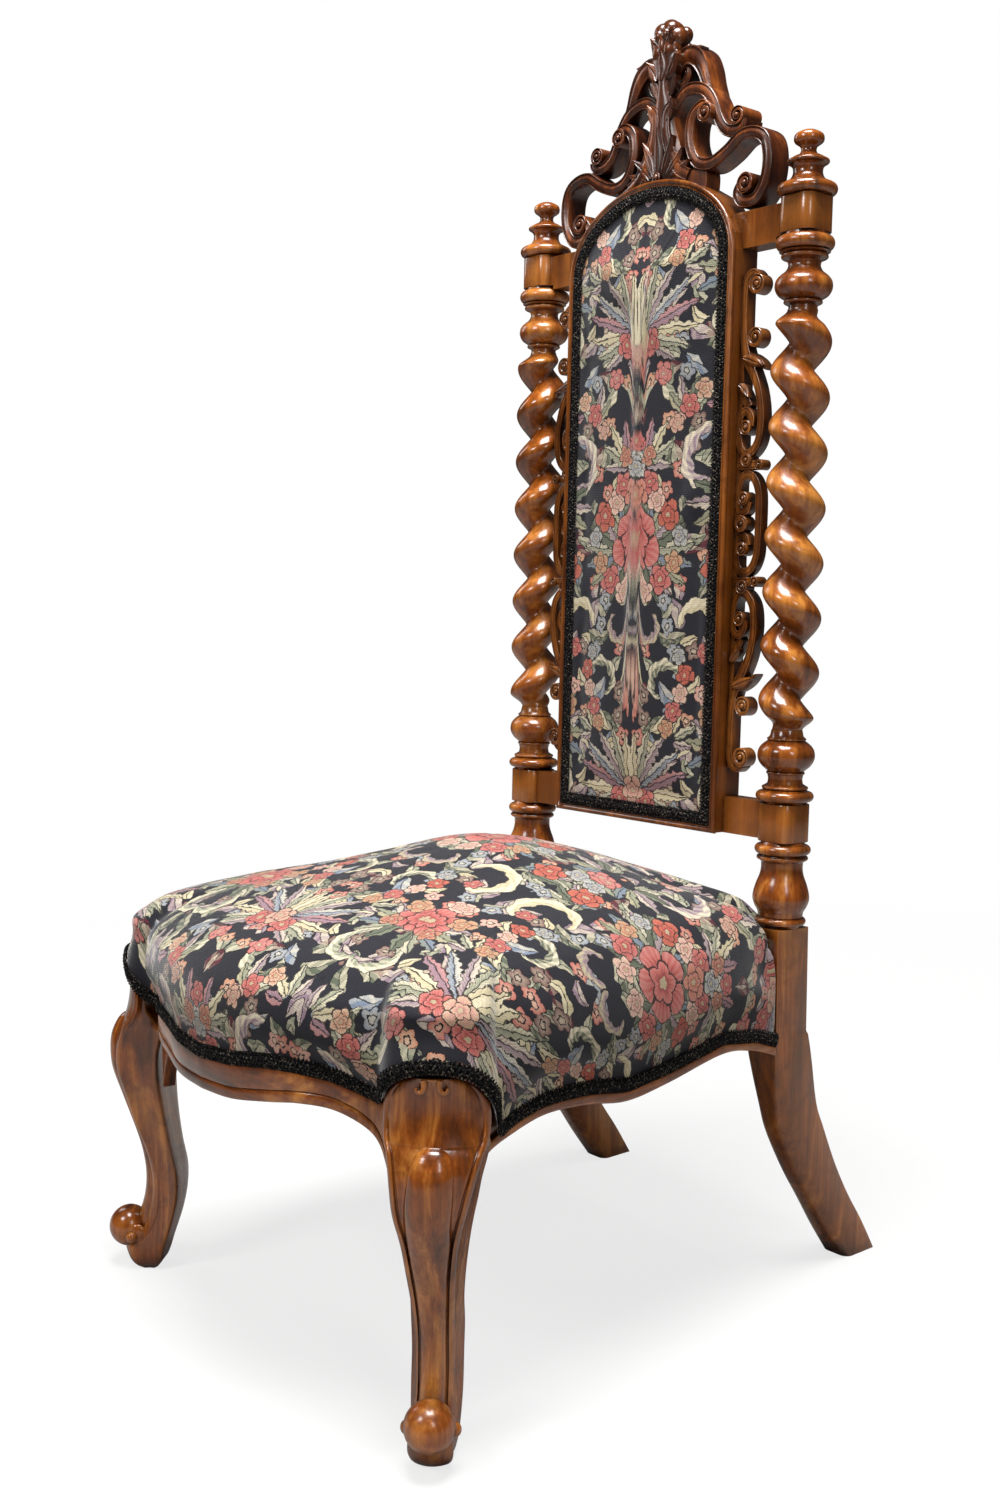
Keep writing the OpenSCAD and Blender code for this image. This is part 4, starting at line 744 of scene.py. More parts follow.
def tapestry(name):
    """Jacquard cloth: flowers, leaves and scrolls on charcoal, with ribbed threads."""
    f = Finish(name)
    groups = {kind: motif_group(kind + " motif", build) for kind, build in
              (("flower", build_flower), ("leaf", build_leaf), ("scroll", build_scroll))}
    cloth = f.node("ShaderNodeAttribute", attribute_name="cloth").outputs["Vector"]
    # Drawn by hand and woven in steps: every line of the design wanders a little
    drift = f.node("ShaderNodeTexNoise")
    f.put(drift.inputs["Vector"], cloth)
    drift.inputs["Scale"].default_value = 0.09
    drift.inputs["Detail"].default_value = 2.5
    drift.inputs["Roughness"].default_value = 0.5
    parts = f.node("ShaderNodeSeparateColor")
    f.put(parts.inputs[0], drift.outputs["Color"])
    x, y, _ = f.split(cloth)
    x = f.plus(x, f.times(f.minus(parts.outputs[0], 0.5), WANDER))
    y = f.plus(y, f.times(f.minus(parts.outputs[1], 0.5), WANDER))
    x = f.times(f.math("ROUND", f.over(x, PICK_W)), PICK_W)
    y = f.times(f.math("ROUND", f.over(y, PICK_H)), PICK_H)
    half = f.math("PINGPONG", x, REPEAT_W)
    rise = f.times(f.math("FRACT", f.over(y, REPEAT_H)), REPEAT_H)
    point = f.combine(half, rise)
    speck = f.noise(cloth, 1.4, 2.0, 0.6)
    over = f.mix(f.times(speck, 0.55), colour("#141419"), colour("#363640"))
    # Leaves and blossoms strewn on the ground between the drawn motifs
    over = scatter(f, point, over, 27.0, 0.52, True, ("moss", "mauve", "sage", "slate", "wine"), 31.0)
    over = scatter(f, point, over, 19.0, 0.34, True, ("sage", "straw", "moss", "mauve"), 77.0)
    over = scatter(f, point, over, 21.0, 0.34, False, ("coral", "wine", "slate", "orange", "rose"), 53.0)
    for kind, px, py, a, b, c, d, rim_tone, heart_tone in DESIGN:
        b = b * SCROLL_THIN if kind == "scroll" else b
        for wrap in (-REPEAT_H, 0.0, REPEAT_H):
            centre_y = py + wrap
            if wrap and not -a - 12 < centre_y < REPEAT_H + a + 12:
                continue
            made = f.node("ShaderNodeGroup", node_tree=groups[kind])
            f.put(made.inputs["Point"], point)
            made.inputs["Centre"].default_value = (px, centre_y, 0.0)
            for key, value in zip("ABCD", (a, b, c, d)):
                made.inputs[key].default_value = value
            f.put(made.inputs["Under"], over)
            made.inputs["Rim"].default_value = colour(TONES[rim_tone])
            made.inputs["Heart"].default_value = colour(TONES[heart_tone])
            over, point = made.outputs["Over"], made.outputs["Next"]
    plain_x, plain_y, _ = f.split(cloth)
    thread = f.sine(f.times(plain_y, 2 * math.pi / 1.7))
    cross = f.sine(f.times(plain_x, 2 * math.pi / 1.1))
    weave = f.plus(f.times(thread, 0.5), f.times(cross, 0.3))
    fuzz = f.noise(cloth, 1.1, 3.0, 0.7)
    tone = f.plus(f.times(weave, 0.15), f.plus(0.45, f.times(fuzz, 1.1)))
    stretched = f.node("ShaderNodeMapping")
    f.put(stretched.inputs["Vector"], cloth)
    stretched.inputs["Scale"].default_value = (0.35, 2.2, 1.0)
    tone = f.times(tone, f.plus(0.62, f.times(f.noise(stretched.outputs[0], 0.9, 2.0), 0.76)))
    body = f.mix(1.0, over, f.combine(tone, tone, tone), "MULTIPLY")
    height = f.plus(weave, fuzz)
    return f.surface(body, 0.85, f.bump(height, 0.35, 0.0004), Sheen_Weight=0.6, Sheen_Roughness=0.3,
                     Specular_IOR_Level=0.25)


# Each finish: the function that makes it and what that function is given
POLISHED = ("#2b1104", "#894511", "#c88238")
MAKERS = {
    "walnut_upright": (walnut, "walnut upright", "upright", *POLISHED),
    "walnut_across": (walnut, "walnut across", "across", *POLISHED),
    "walnut_deep": (walnut, "walnut deep", "deep", *POLISHED),
    # Painted shade: a darker copy of the polished walnut for the back frame and its bead, standing in for the
    # shade that its flat faces do not get
    "walnut_frame": (walnut, "walnut frame", "upright", "#200d04", "#5f2e0b", "#94561e", 0.22),
    "walnut_red": (walnut, "walnut red", "upright", "#150803", "#4c220b", "#8c4a18", 0.3, 0.22),
    "walnut_fret": (walnut, "walnut fret", "upright", "#261003", "#6a390e", "#a5652a", 0.27),
    "beech": (plain_wood, "plain beech"),
    "jute": (coarse_weave, "jute webbing", "#6f5a38", "#b89d70", 0.0022),
    "black_cloth": (coarse_weave, "black cotton", "#0c0b0c", "#2a2729", 0.0009),
    "horsehair": (coarse_weave, "hair and cotton", "#2c221a", "#7a6650", 0.0035),
    "spring_steel": (wire_metal, "spring wire"),
    "gimp_braid": (braid_finish, "black gimp"),
    "tapestry": (tapestry, "flowered tapestry"),
}
FINISHES = {}


def finish_for(key):
    """Material by key, made once."""
    if key not in FINISHES:
        make, *given = MAKERS[key]
        FINISHES[key] = make(*given)
        FINISHES[key].diffuse_color = (*bpy.context.scene.chair_colours.wood_view, 1.0)
    return FINISHES[key]


# ---------------------------------------------------------------- turned work
# Turned rows: share of the height, share of the reach and, for a bead, its half height
BALUSTER = [
    [0, 0.71, 0], [0.07, 0.87, 0.045], [0.13, 0.76, 0], [0.18, 0.78, 0], [0.24, 0.88, 0], [0.32, 0.957, 0],
    [0.4, 0.94, 0], [0.5, 0.86, 0], [0.6, 0.75, 0], [0.68, 0.705, 0], [0.76, 0.71, 0], [0.81, 0.87, 0.026],
    [0.91, 0.95, 0.06], [1, 0.71, 0]]
LOWER_COLLAR_ROWS = [
    [0, 0.71, 0], [0.1, 0.977, 0.07], [0.215, 0.78, 0.023], [0.27, 0.6, 0], [0.33, 0.577, 0],
    [0.38, 0.6, 0], [0.415, 0.65, 0.018], [0.46, 0.68, 0], [0.51, 0.82, 0], [0.58, 0.93, 0],
    [0.654, 0.965, 0], [0.73, 0.93, 0], [0.79, 0.83, 0], [0.84, 0.68, 0], [0.875, 0.66, 0.018],
    [0.92, 0.56, 0], [1, 0.52, 0]]
UPPER_COLLAR_ROWS = [
    [0, 0.48, 0], [0.06, 0.48, 0], [0.11, 0.646, 0.023], [0.16, 0.7, 0], [0.2, 0.84, 0], [0.26, 0.93, 0],
    [0.32, 0.957, 0], [0.39, 0.92, 0], [0.45, 0.8, 0], [0.51, 0.62, 0], [0.58, 0.535, 0], [0.64, 0.56, 0],
    [0.7, 0.78, 0.03], [0.76, 0.85, 0], [0.87, 0.973, 0.1], [1, 0.71, 0]]
FINIAL_ROWS = [
    [0, 0.71, 0], [0.1, 0.996, 0.09], [0.2, 0.8, 0], [0.25, 0.6, 0], [0.33, 0.5, 0], [0.42, 0.5, 0],
    [0.47, 0.58, 0], [0.52, 0.7, 0.03], [0.59, 0.5, 0], [0.64, 0.3, 0], [0.7, 0.254, 0], [0.75, 0.3, 0],
    [0.81, 0.47, 0], [0.87, 0.5, 0], [0.93, 0.45, 0], [0.98, 0.25, 0], [1, 0.1, 0]]


def turned_outline(rows, height, bottom):
    """Radius and height pairs: coves are smoothed between the beads, which are half rounds."""
    out, run = [], []

    def flush():
        if len(run) > 2:
            out.extend(smooth_rows(run, 4).tolist())
        else:
            out.extend(run)
        run.clear()

    for place, reach, bead in rows:
        r, z, b = reach * POST_REACH, bottom + place * height, bead * height
        if bead:
            flush()
            for a in np.radians(np.arange(-90, 91, 12)):
                out.append([r - (1 - math.cos(a)) * b, z + math.sin(a) * b])
        else:
            run.append([r, z])
    flush()
    return out


def add_block(shell, centre, bottom, height):
    """Block with strongly rounded corners and softened ends."""
    half, flat, soft = BLOCK_W / 2, BLOCK_W / 2 - BLOCK_ROUND, 0.9
    plan = []
    for sx, sy, start in ((1, 1, 0), (-1, 1, 90), (-1, -1, 180), (1, -1, 270)):
        for a in np.radians(start + np.linspace(0, 90, 9)):
            plan.append((sx * flat + BLOCK_ROUND * math.cos(a), sy * flat + BLOCK_ROUND * math.sin(a)))
    rings = []
    top = bottom + height
    for z, inset in ((bottom, soft), (bottom + 0.3 * soft, 0.3 * soft), (bottom + soft, 0),
                     (top - soft, 0), (top - 0.3 * soft, 0.3 * soft), (top, soft)):
        share = 1 - inset / half
        rings.append([(centre[0] + x * share, centre[1] + y * share, z) for x, y in plan])
    shell.loft(rings)


def twist_rings(pitch, groove):
    """One full strand wound round the post, fine enough to read as carved and polished."""
    rings = []
    sides, per_turn, fullness = 72, 40, 0.72
    count = round(TWIST_H / pitch * per_turn)
    for i in range(count + 1):
        z = (TWIST_H + 2) * i / count - 1
        lead = TWIST_TURN - 2 * math.pi * (z - TWIST_MARK) / pitch
        free = float(ease(min(z + 1, TWIST_H + 1 - z) / (0.3 * pitch)))
        ring = []
        for s in range(sides):
            a = 2 * math.pi * s / sides + lead
            full = math.pow(math.cos((a - lead) / 2) ** 2, fullness)
            r = (1 - free) * 0.5 * POST_REACH + free * (groove + (POST_REACH - groove) * full)
            ring.append((POST_X + r * math.cos(a), r * math.sin(a), TWIST_BOTTOM + z))
        rings.append(ring)
    return rings


class CHAIR_OT_posts(bpy.types.Operator):
    """Turned and twisted back posts with their square blocks"""
    bl_idname = "chair.posts"
    bl_label = "Twisted posts"

    def execute(self, context):
        sizes = context.scene.chair_sizes
        shell, axis = Shell(), (POST_X, 0)
        shell.lathe(turned_outline(BALUSTER, BALUSTER_H, LEG_TOP), axis)
        add_block(shell, axis, LOWER_BLOCK, LOWER_BLOCK_H)
        shell.lathe(turned_outline(LOWER_COLLAR_ROWS, COLLAR_H, LOWER_COLLAR), axis)
        shell.loft(twist_rings(sizes.twist_pitch, sizes.twist_groove))
        shell.lathe(turned_outline(UPPER_COLLAR_ROWS, COLLAR_H, UPPER_COLLAR), axis)
        add_block(shell, axis, UPPER_BLOCK, UPPER_BLOCK_H)
        for side in ("right", "left"):
            make_side(side, "post_", shell.moved(lean), "walnut_upright", "twist_post_", 35)
        return {"FINISHED"}


class CHAIR_OT_finials(bpy.types.Operator):
    """Turned finials on the posts"""
    bl_idname = "chair.finials"
    bl_label = "Finials"

    def execute(self, context):
        shell = Shell()
        shell.lathe(turned_outline(FINIAL_ROWS, FINIAL_H, FINIAL_BOTTOM), (POST_X, 0))
        for side in ("right", "left"):
            make_side(side, "finial_", shell.moved(lean), "walnut_upright", "post_finial_", 35)
        return {"FINISHED"}


# ---------------------------------------------------------------- legs
# Share of the height, front and back as shares of the sweep, share of the chamfer
REAR_LEG_ROWS = [
    [0, 0.735, 1, 0.55], [0.1, 0.57, 0.84, 0.75], [0.195, 0.43, 0.67, 0.86], [0.3, 0.275, 0.51, 0.93],
    [0.42, 0.127, 0.36, 1], [0.5, 0.069, 0.27, 0.94], [0.65, 0.009, 0.19, 0.34], [0.76, 0, 0.14, 0.05],
    [1, 0, 0.14, 0.05]]


def rear_leg_shell():
    shell, rings = Shell(), []
    heel, chamfer, foot_w, inset = 130.0, 11.0, 31.0, 3.5
    for row in smooth_rows(REAR_LEG_ROWS, 8):
        swept = min(row[0] / 0.6, 1)
        front = row[1] * (heel + REAR_LEG_FRONT) - REAR_LEG_FRONT
        back = 18.0 if row[0] > 0.7 else row[2] * heel
        c = row[3] * chamfer
        half = (foot_w * (1 - swept) + BLOCK_W * swept) / 2
        mid = POST_X - inset * (1 - swept)
        z = row[0] * LEG_TOP
        tilt = -math.tan(RAKE) if row[0] > 0.999 else 0
        soft = 1.6
        plan = [(half, front + c + soft), (half, back - soft), (half - 0.3 * soft, back - 0.3 * soft),
                (half - soft, back), (soft - half, back), (0.3 * soft - half, back - 0.3 * soft),
                (-half, back - soft), (-half, front + c + soft), (-half + 0.15 * c, front + 0.72 * c),
                (-half + 0.72 * c, front + 0.15 * c), (-half + c + soft, front),
                (half - c - soft, front), (half - 0.72 * c, front + 0.15 * c),
                (half - 0.15 * c, front + 0.72 * c)]
        rings.append([(mid + x, y, z + tilt * y) for x, y in plan])
    shell.loft(rings)
    return shell.moved(in_plan)


# Level, arris, back, and half widths of the face and the back as shares of the shield's
FRONT_LEG_ROWS = [
    [0, 0, -0.17, 0.3, 0.28], [0.014, 0.08, -0.24, 0.38, 0.38], [0.042, 0.14, -0.29, 0.43, 0.44],
    [0.077, 0.13, -0.335, 0.42, 0.47], [0.122, -0.06, -0.4, 0.4, 0.49], [0.174, -0.18, -0.47, 0.385, 0.5],
    [0.244, -0.23, -0.535, 0.385, 0.5], [0.32, -0.21, -0.546, 0.385, 0.515],
    [0.4, -0.11, -0.48, 0.41, 0.52], [0.488, 0.04, -0.42, 0.46, 0.58], [0.575, 0.13, -0.38, 0.54, 0.67],
    [0.662, 0.21, -0.36, 0.68, 0.79], [0.721, 0.21, -0.37, 0.76, 0.84], [0.767, 0.16, -0.42, 0.83, 0.9],
    [0.808, 0.08, -0.45, 0.9, 0.94], [0.836, -0.02, -0.36, 0.97, 0.9], [0.871, -0.09, -0.24, 1, 0.88],
    [0.913, -0.11, -0.22, 0.99, 0.86], [0.955, -0.09, -0.2, 0.9, 0.78], [0.983, -0.05, -0.18, 0.72, 0.62],
    [1, 0.03, -0.15, 0.44, 0.4]]
# Tongue down the front: height share, half width and how far its round top has risen
TONGUE = [
    [0, 12, 1], [0.14, 12.8, 1], [0.21, 12.8, 1], [0.35, 12.2, 1], [0.47, 12.6, 1], [0.56, 15, 1],
    [0.697, 17.2, 1.1], [0.745, 17.0, 1.15], [0.77, 16.4, 1.14], [0.79, 15.2, 1.08], [0.805, 13.8, 0.98],
    [0.816, 12, 0.85], [0.824, 9.8, 0.68], [0.83, 7.0, 0.46], [0.834, 5.0, 0], [1, 5.0, 0]]
# The same face without its tongue
FACE = [
    [0, 0.06], [0.014, 0.18], [0.042, 0.25], [0.077, 0.28], [0.122, 0.11], [0.174, 0.015], [0.244, -0.075],
    [0.32, -0.095], [0.4, -0.045], [0.488, 0.06], [0.575, 0.19], [0.662, 0.31], [0.721, 0.335],
    [0.767, 0.318], [0.808, 0.262], [0.836, 0.214], [0.871, 0.167], [0.913, 0.134], [0.955, 0.125],
    [0.983, 0.14], [1, 0.17]]


def diagonal(points):
    """From the leg's own diagonal frame (outward, across, up) into the right front corner."""
    p = np.array(points, float)
    c = math.sqrt(0.5)
    out = p.copy()
    out[..., 0] = LEG_X + c * p[..., 0] + c * p[..., 1]
    out[..., 1] = -LEG_Y - c * p[..., 0] + c * p[..., 1] + PLAN_SHIFT
    return out


def front_leg_ring(row):
    """One level of the leg: raised tongue, side flats, and a quirk and a bead along each arris."""
    edge, back = row[1] * LEG_STOCK, row[2] * LEG_STOCK
    face = lookup(row[0], smooth_rows(FACE, 4)) * LEG_STOCK
    face_w, back_w = row[3] * SHIELD_W / 2, row[4] * SHIELD_W / 2
    hollow = 0.05 * face_w
    drift = 3.3 * float(ease((row[0] - 0.62) / 0.2))
    shape = np.array(TONGUE, float)
    reach = min(float(np.interp(row[0], shape[:, 0], shape[:, 1])), face_w - 5.0)
    lift = float(np.interp(row[0], shape[:, 0], shape[:, 2]))
    lift *= 6.2 * float(ease((row[0] - 0.09) / 0.07)) * (0.75 + 0.25 * float(ease((row[0] - 0.4) / 0.3)))
    quirk = 1.9 * float(ease((row[0] - 0.1) / 0.06)) * (1 - 0.6 * float(ease((row[0] - 0.84) / 0.06)))
    quirk *= float(ease((0.985 - row[0]) / 0.03))
    groove = face_w - 5.2
    start = min(reach + 0.9, groove - 1.8)
    places = [q * reach for q in (0, 0.22, 0.42, 0.6, 0.75, 0.86, 0.94, 0.985, 1.0)]
    places += [start, start + 0.35 * (groove - 1.5 - start), start + 0.7 * (groove - 1.5 - start)]
    places += [groove - 1.5, groove - 0.8, groove - 0.3, groove + 0.3, groove + 0.8, groove + 1.5]
    places += [groove + 0.5 * (face_w - groove), face_w - 1.4, face_w - 0.6, face_w - 0.15, face_w]
    half = []
    for t in places:
        s = t / face_w
        u = edge * s * s + face * (1 - s * s)
        if t <= reach:
            u += lift * max(0.0, 1 - (t / reach) ** 2.8) ** 0.6
        flat = (t - reach) / max(groove - reach, 1.0)
        if 0 < flat < 1:
            u -= 1.1 * (lift / 5.2) * math.sin(math.pi * flat)
        u -= quirk * math.exp(-((t - groove) / 0.85) ** 2)
        over = max(0.0, (t - groove) / (face_w - groove))
        u += 0.5 * math.sin(math.pi * min(over, 1)) * min(quirk, 1.0) - 1.6 * max(0.0, over - 0.55) ** 2 / 0.2
        half.append((u, t))
    ring = [(u, -t) for u, t in half[::-1]] + half[1:]
    low = half[-1][0]
    flank = [(between(low, back, 0.12), face_w - hollow / 2),
             (between(low, back, 0.5), between(face_w, back_w, 0.5) - hollow),
             (between(low, back, 0.9), back_w), (back, 0.8 * back_w), (back, 0)]
    flank = smooth_rows([ring[-1]] + flank, 3)[1:]
    ring.extend([tuple(p) for p in flank])
    ring.extend([(u, -t) for u, t in flank[::-1][1:]])
    return [(u, t + drift, row[0] * KNEE_H) for u, t in ring]


def front_leg_shell():
    shell = Shell()
    table = smooth_rows(FRONT_LEG_ROWS, 8)
    levels = np.concatenate([np.linspace(0, 0.76, 90), np.linspace(0.764, 0.85, 42),
                             np.linspace(0.856, 1, 26)])
    rows = [[z] + [float(np.interp(z, table[:, 0], table[:, k])) for k in range(1, 5)] for z in levels]
    shell.loft([front_leg_ring(row) for row in rows])
    shell.ball((0.24 * LEG_STOCK, 0.6, 36.0), (18.6, 18.8, 18.8), rings=32, sides=56)
    for hand in (-1, 1):
        # Button at the end of the scrolled toe, with a turn of the strap round it
        shell.ball((8.5, 0.6 + hand * 17.6, 31.0), (5.3, 4.6, 5.3), rings=14, sides=24)
        shell.ball((4.5, hand * 13.2, 33.0), (9.0, 3.6, 9.5), rings=14, sides=24)
        # Comma that hangs from the top of the shield
        bend = [(0.0, 0.5, 286.5), (0.3, 0.2, 283.5), (0.6, 0.6, 280.4), (0.9, 2.0, 278.2), (0.9, 4.2, 277.6),
                (0.6, 5.8, 279.2), (0.3, 5.6, 281.2)]
        path = smooth_rows([(9.6 + 0.9 * u, 2.6 + hand * (5.2 + t), z) for u, t, z in bend], 4)
        shell.tube(path, 2.5 - 1.5 * np.linspace(0, 1, len(path)) ** 1.5, 10)
    return shell.moved(diagonal)


# ---------------------------------------------------------------- seat rails
# Along the half width or the length of a rail: its bow, its lower edge and the edge of the cover
BOW = [[0, 1], [0.235, 0.95], [0.47, 0.79], [0.647, 0.65], [0.794, 0.38], [0.912, 0.12], [1, 0], [1.18, 0]]
FRONT_UNDER = [
    [0, 0], [0.235, 0.02], [0.47, 0.1], [0.647, 0.17], [0.794, 0.14], [0.912, -0.03], [0.965, -0.19],
    [1, -0.4], [1.03, -0.6], [1.06, -0.9]]
FRONT_EDGE = [
    [0, 0.09], [0.235, 0.17], [0.47, 0.32], [0.647, 0.37], [0.794, 0.28], [0.912, -0.03], [1, -0.14],
    [1.18, -0.14]]
SIDE_UNDER = [
    [-0.03, -1.8], [-0.015, -1.2], [0, -0.65], [0.03, -0.1], [0.08, 0.35], [0.2, 0.88], [0.33, 0.7],
    [0.46, 0.24], [0.6, 0.45], [0.8, 1], [0.92, 0.6], [1, 0]]


def front_edge(share):
    return SHOW_TOP + lookup(share, FRONT_EDGE) * EDGE_RISE


def side_edge(share):
    return SIDE_BOTTOM + lookup(share, SIDE_UNDER) * SIDE_WAVE + SIDE_SHOW_H


def rail_section(low, high):
    """Section of a show rail as (depth behind its face, height): a quirked bead along the foot,
    the show face, the rebate for the cover and the hidden back."""
    inner, bead = RAIL_DEPTH, RAIL_BEAD
    high = max(high, low + 3.0)
    top = max(RAIL_TOP, high)
    rows = [(inner, low), (4.0, low), (1.6, low + 0.2), (0.5, low + 0.9), (0.1, low + 2.0)]
    if high - low > bead + 5:
        rows += [(0.0, low + bead - 1.4), (0.35, low + bead - 0.7), (1.3, low + bead),
                 (0.35, low + bead + 0.7), (0.0, low + bead + 1.4)]
    else:
        third = (high - low) / 3
        rows += [(0.0, low + 2.0 + (third - 1) * k / 5) for k in range(1, 6)]
    rows += [(0.0, high - 1.2), (0.3, high - 0.4), (1.2, high), (REBATE, high), (REBATE, top),
             (inner, top)]
    return rows


def bow_line(steps):
    """Face of the front rail in plan, along its right half."""
    return smooth_rows([[s * BOW_END, -FRONT_FACE_Y - b * FRONT_BOW] for s, b in BOW], steps)


def front_rail_shell(start, stop, steps):
    """Bowed front rail between two places along its half width, negative on the left."""
    under = smooth_rows([[s[0] * BOW_END, FRONT_BOTTOM + s[1] * 2 * (RAIL_TOP - FRONT_BOTTOM) / 1.8]
                         for s in FRONT_UNDER], 6)
    face = bow_line(6)
    shell, rings = Shell(), []
    for x in np.linspace(start, stop, steps):
        y = np.interp(abs(x), face[:, 0], face[:, 1])
        slope = (np.interp(abs(x) + 0.5, face[:, 0], face[:, 1])
                 - np.interp(max(abs(x) - 0.5, 0), face[:, 0], face[:, 1])) * (1 if x > 0 else -1)
        inward = np.array([-slope, 1.0]) / math.hypot(slope, 1.0)
        low = np.interp(abs(x), under[:, 0], under[:, 1])
        high = float(front_edge(abs(x) / BOW_END)) - SOFT_GAP
        rings.append([(x + inward[0] * d, y + inward[1] * d, z) for d, z in rail_section(low, high)])
    shell.loft(rings)
    return shell.moved(in_plan)


def side_rail_shell(start, stop, steps):
    """Side rail between two shares of its length, on the right side."""
    under = smooth_rows([[s[0], SIDE_BOTTOM + s[1] * SIDE_WAVE] for s in SIDE_UNDER], 6)
    shell, rings = Shell(), []
    turn = math.pi / 2 + SIDE_TURN
    for share in np.linspace(start, stop, steps):
        low = np.interp(share, under[:, 0], under[:, 1])
        high = float(side_edge(share))
        ring = []
        for d, z in rail_section(low, high):
            lx, ly = share * SIDE_LEN, d
            ring.append((SIDE_FACE_X + lx * math.cos(turn) - ly * math.sin(turn),
                         -SIDE_START_Y + lx * math.sin(turn) + ly * math.cos(turn), z))
        rings.append(ring[::-1])
    shell.loft(rings)
    return shell.moved(in_plan)


class CHAIR_OT_legs(bpy.types.Operator):
    """Front legs with shield, tongue and scrolled toe, and swept rear legs"""
    bl_idname = "chair.legs"
    bl_label = "Legs"

    def execute(self, context):
        front = front_leg_shell()
        front.join(front_rail_shell(RAIL_SPLIT, 1.05 * BOW_END, 24))
        front.join(side_rail_shell(-0.028, SIDE_SPLIT, 16))
        for side in ("right", "left"):
            make_side(side, "cabriole_leg_", front, "walnut_upright", "front_leg_", 50)
            make_side(side, "sabre_leg_", rear_leg_shell(), "walnut_upright", "rear_leg_", 30)
        return {"FINISHED"}


class CHAIR_OT_seat_rails(bpy.types.Operator):
    """Bowed front rail and waved side rails with their quirked lower edge"""
    bl_idname = "chair.seat_rails"
    bl_label = "Seat rails"

    def execute(self, context):
        make_piece("rail_front", front_rail_shell(-RAIL_SPLIT, RAIL_SPLIT, 90), "walnut_across",
                   ["front_seat_rail"], 45)
        rail = side_rail_shell(SIDE_SPLIT, 1.0, 80)
        for side in ("right", "left"):
            make_side(side, "rail_side_", rail, "walnut_deep", "side_seat_rail_", 45)
        return {"FINISHED"}


class CHAIR_OT_joinery(bpy.types.Operator):
    """Finishes of the carried-over frame members, with softened arrises"""
    bl_idname = "chair.joinery"
    bl_label = "Frame members"

    def execute(self, context):
        finishes = {
            "rear_seat_rail": "walnut_across", "lower_back_rail": "walnut_frame",
            "top_back_rail": "walnut_frame", "panel_stile_right": "walnut_frame",
            "panel_stile_left": "walnut_frame", "panel_bottom_rail": "walnut_frame",
            "corner_blocks": "beech", "crest_dowels": "beech", "seat_springs": "spring_steel",
        }
        for name, key in finishes.items():
            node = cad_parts[name]
            node.data.materials.clear()
            node.data.materials.append(finish_for(key))
            if key.startswith("walnut"):
                soften = node.modifiers.new("soft arris", "BEVEL")
                soften.width = 0.0012
                soften.segments = 3
                soften.limit_method = "ANGLE"
                soften.angle_limit = math.radians(40)
        return {"FINISHED"}


# ---------------------------------------------------------------- carving
# Sections of the carved straps: share of the half width, share of the depth from the front
RIBBON = [
    (-0.8, 1.0), (-0.95, 0.96), (-1.0, 0.86), (-1.0, 0.16), (-0.985, 0.07), (-0.93, 0.015), (-0.85, 0.0),
    (-0.77, 0.015), (-0.71, 0.06), (-0.6, 0.055), (-0.35, 0.0), (0, -0.03), (0.35, 0.0), (0.6, 0.055),
    (0.71, 0.06), (0.77, 0.015), (0.85, 0.0), (0.93, 0.015), (0.985, 0.07), (1.0, 0.16), (1.0, 0.86),
    (0.95, 0.96), (0.8, 1.0)]
BAND = [
    (-0.85, 1.0), (-1.0, 0.93), (-1.0, 0.08), (-0.96, 0.02), (-0.88, 0.0), (-0.64, 0.0), (-0.58, 0.05),
    (-0.52, 0.05), (-0.46, 0.0), (0, -0.02), (0.46, 0.0), (0.52, 0.05), (0.58, 0.05), (0.64, 0.0),
    (0.88, 0.0), (0.96, 0.02), (1.0, 0.08), (1.0, 0.93), (0.85, 1.0)]


def strap(shell, rows, scale_x, scale_z, half_w, front, depth, steps, at, section):
    """Scrolled strap of one section, drawn along a smooth line in the plane of the back."""
    line = smooth_rows([[r[0] * scale_x, r[1] * scale_z, r[2] * half_w] for r in rows], steps)
    way = unit_rows(np.gradient(line[:, :2], axis=0))
    normal = np.stack([-way[:, 1], way[:, 0]], 1)
    rings = []
    for i in range(len(line)):
        rings.append([(at[0] + line[i][0] + normal[i][0] * line[i][2] * a,
                       front + depth * b, at[1] + line[i][1] + normal[i][1] * line[i][2] * a)
                      for a, b in section])
    shell.loft(rings)


def volute(shell, x, z, radius, front, depth, hand, lead, cut):
    """Eye of a scroll: a disc whose face is cut by a spiral that winds in to a round boss."""
    turns, boss, steps, sides = 1.35, 0.34, 24, 56
    pitch = radius * (1 - boss) / turns
    outline = [(0.99, 1.0), (1.0, 0.97)]
    rings = [[(x + k * radius * math.cos(a), front + depth * b, z + k * radius * math.sin(a))
              for a in round_stops(sides)] for k, b in outline]
    for r in np.linspace(radius, 0.05 * radius, steps):
        ring = []
        for a in round_stops(sides):
            phase = ((radius - r) / pitch + hand * (a - lead) / (2 * math.pi)) % 1.0
            if r > boss * radius:
                y = cut * math.exp(-((phase - 0.5) / 0.16) ** 2) * min(1.0, (radius - r) / (0.2 * radius))
                y += 0.12 * cut * (2 * phase - 1) ** 2
            else:
                y = cut * math.exp(-((r / radius - boss) / 0.07) ** 2)
                y -= 0.5 * cut * (1 - (r / radius / boss) ** 2)
            if r > 0.96 * radius:
                y += 0.35
            ring.append((x + r * math.cos(a), front + y, z + r * math.sin(a)))
        rings.append(ring)
    shell.loft(rings)


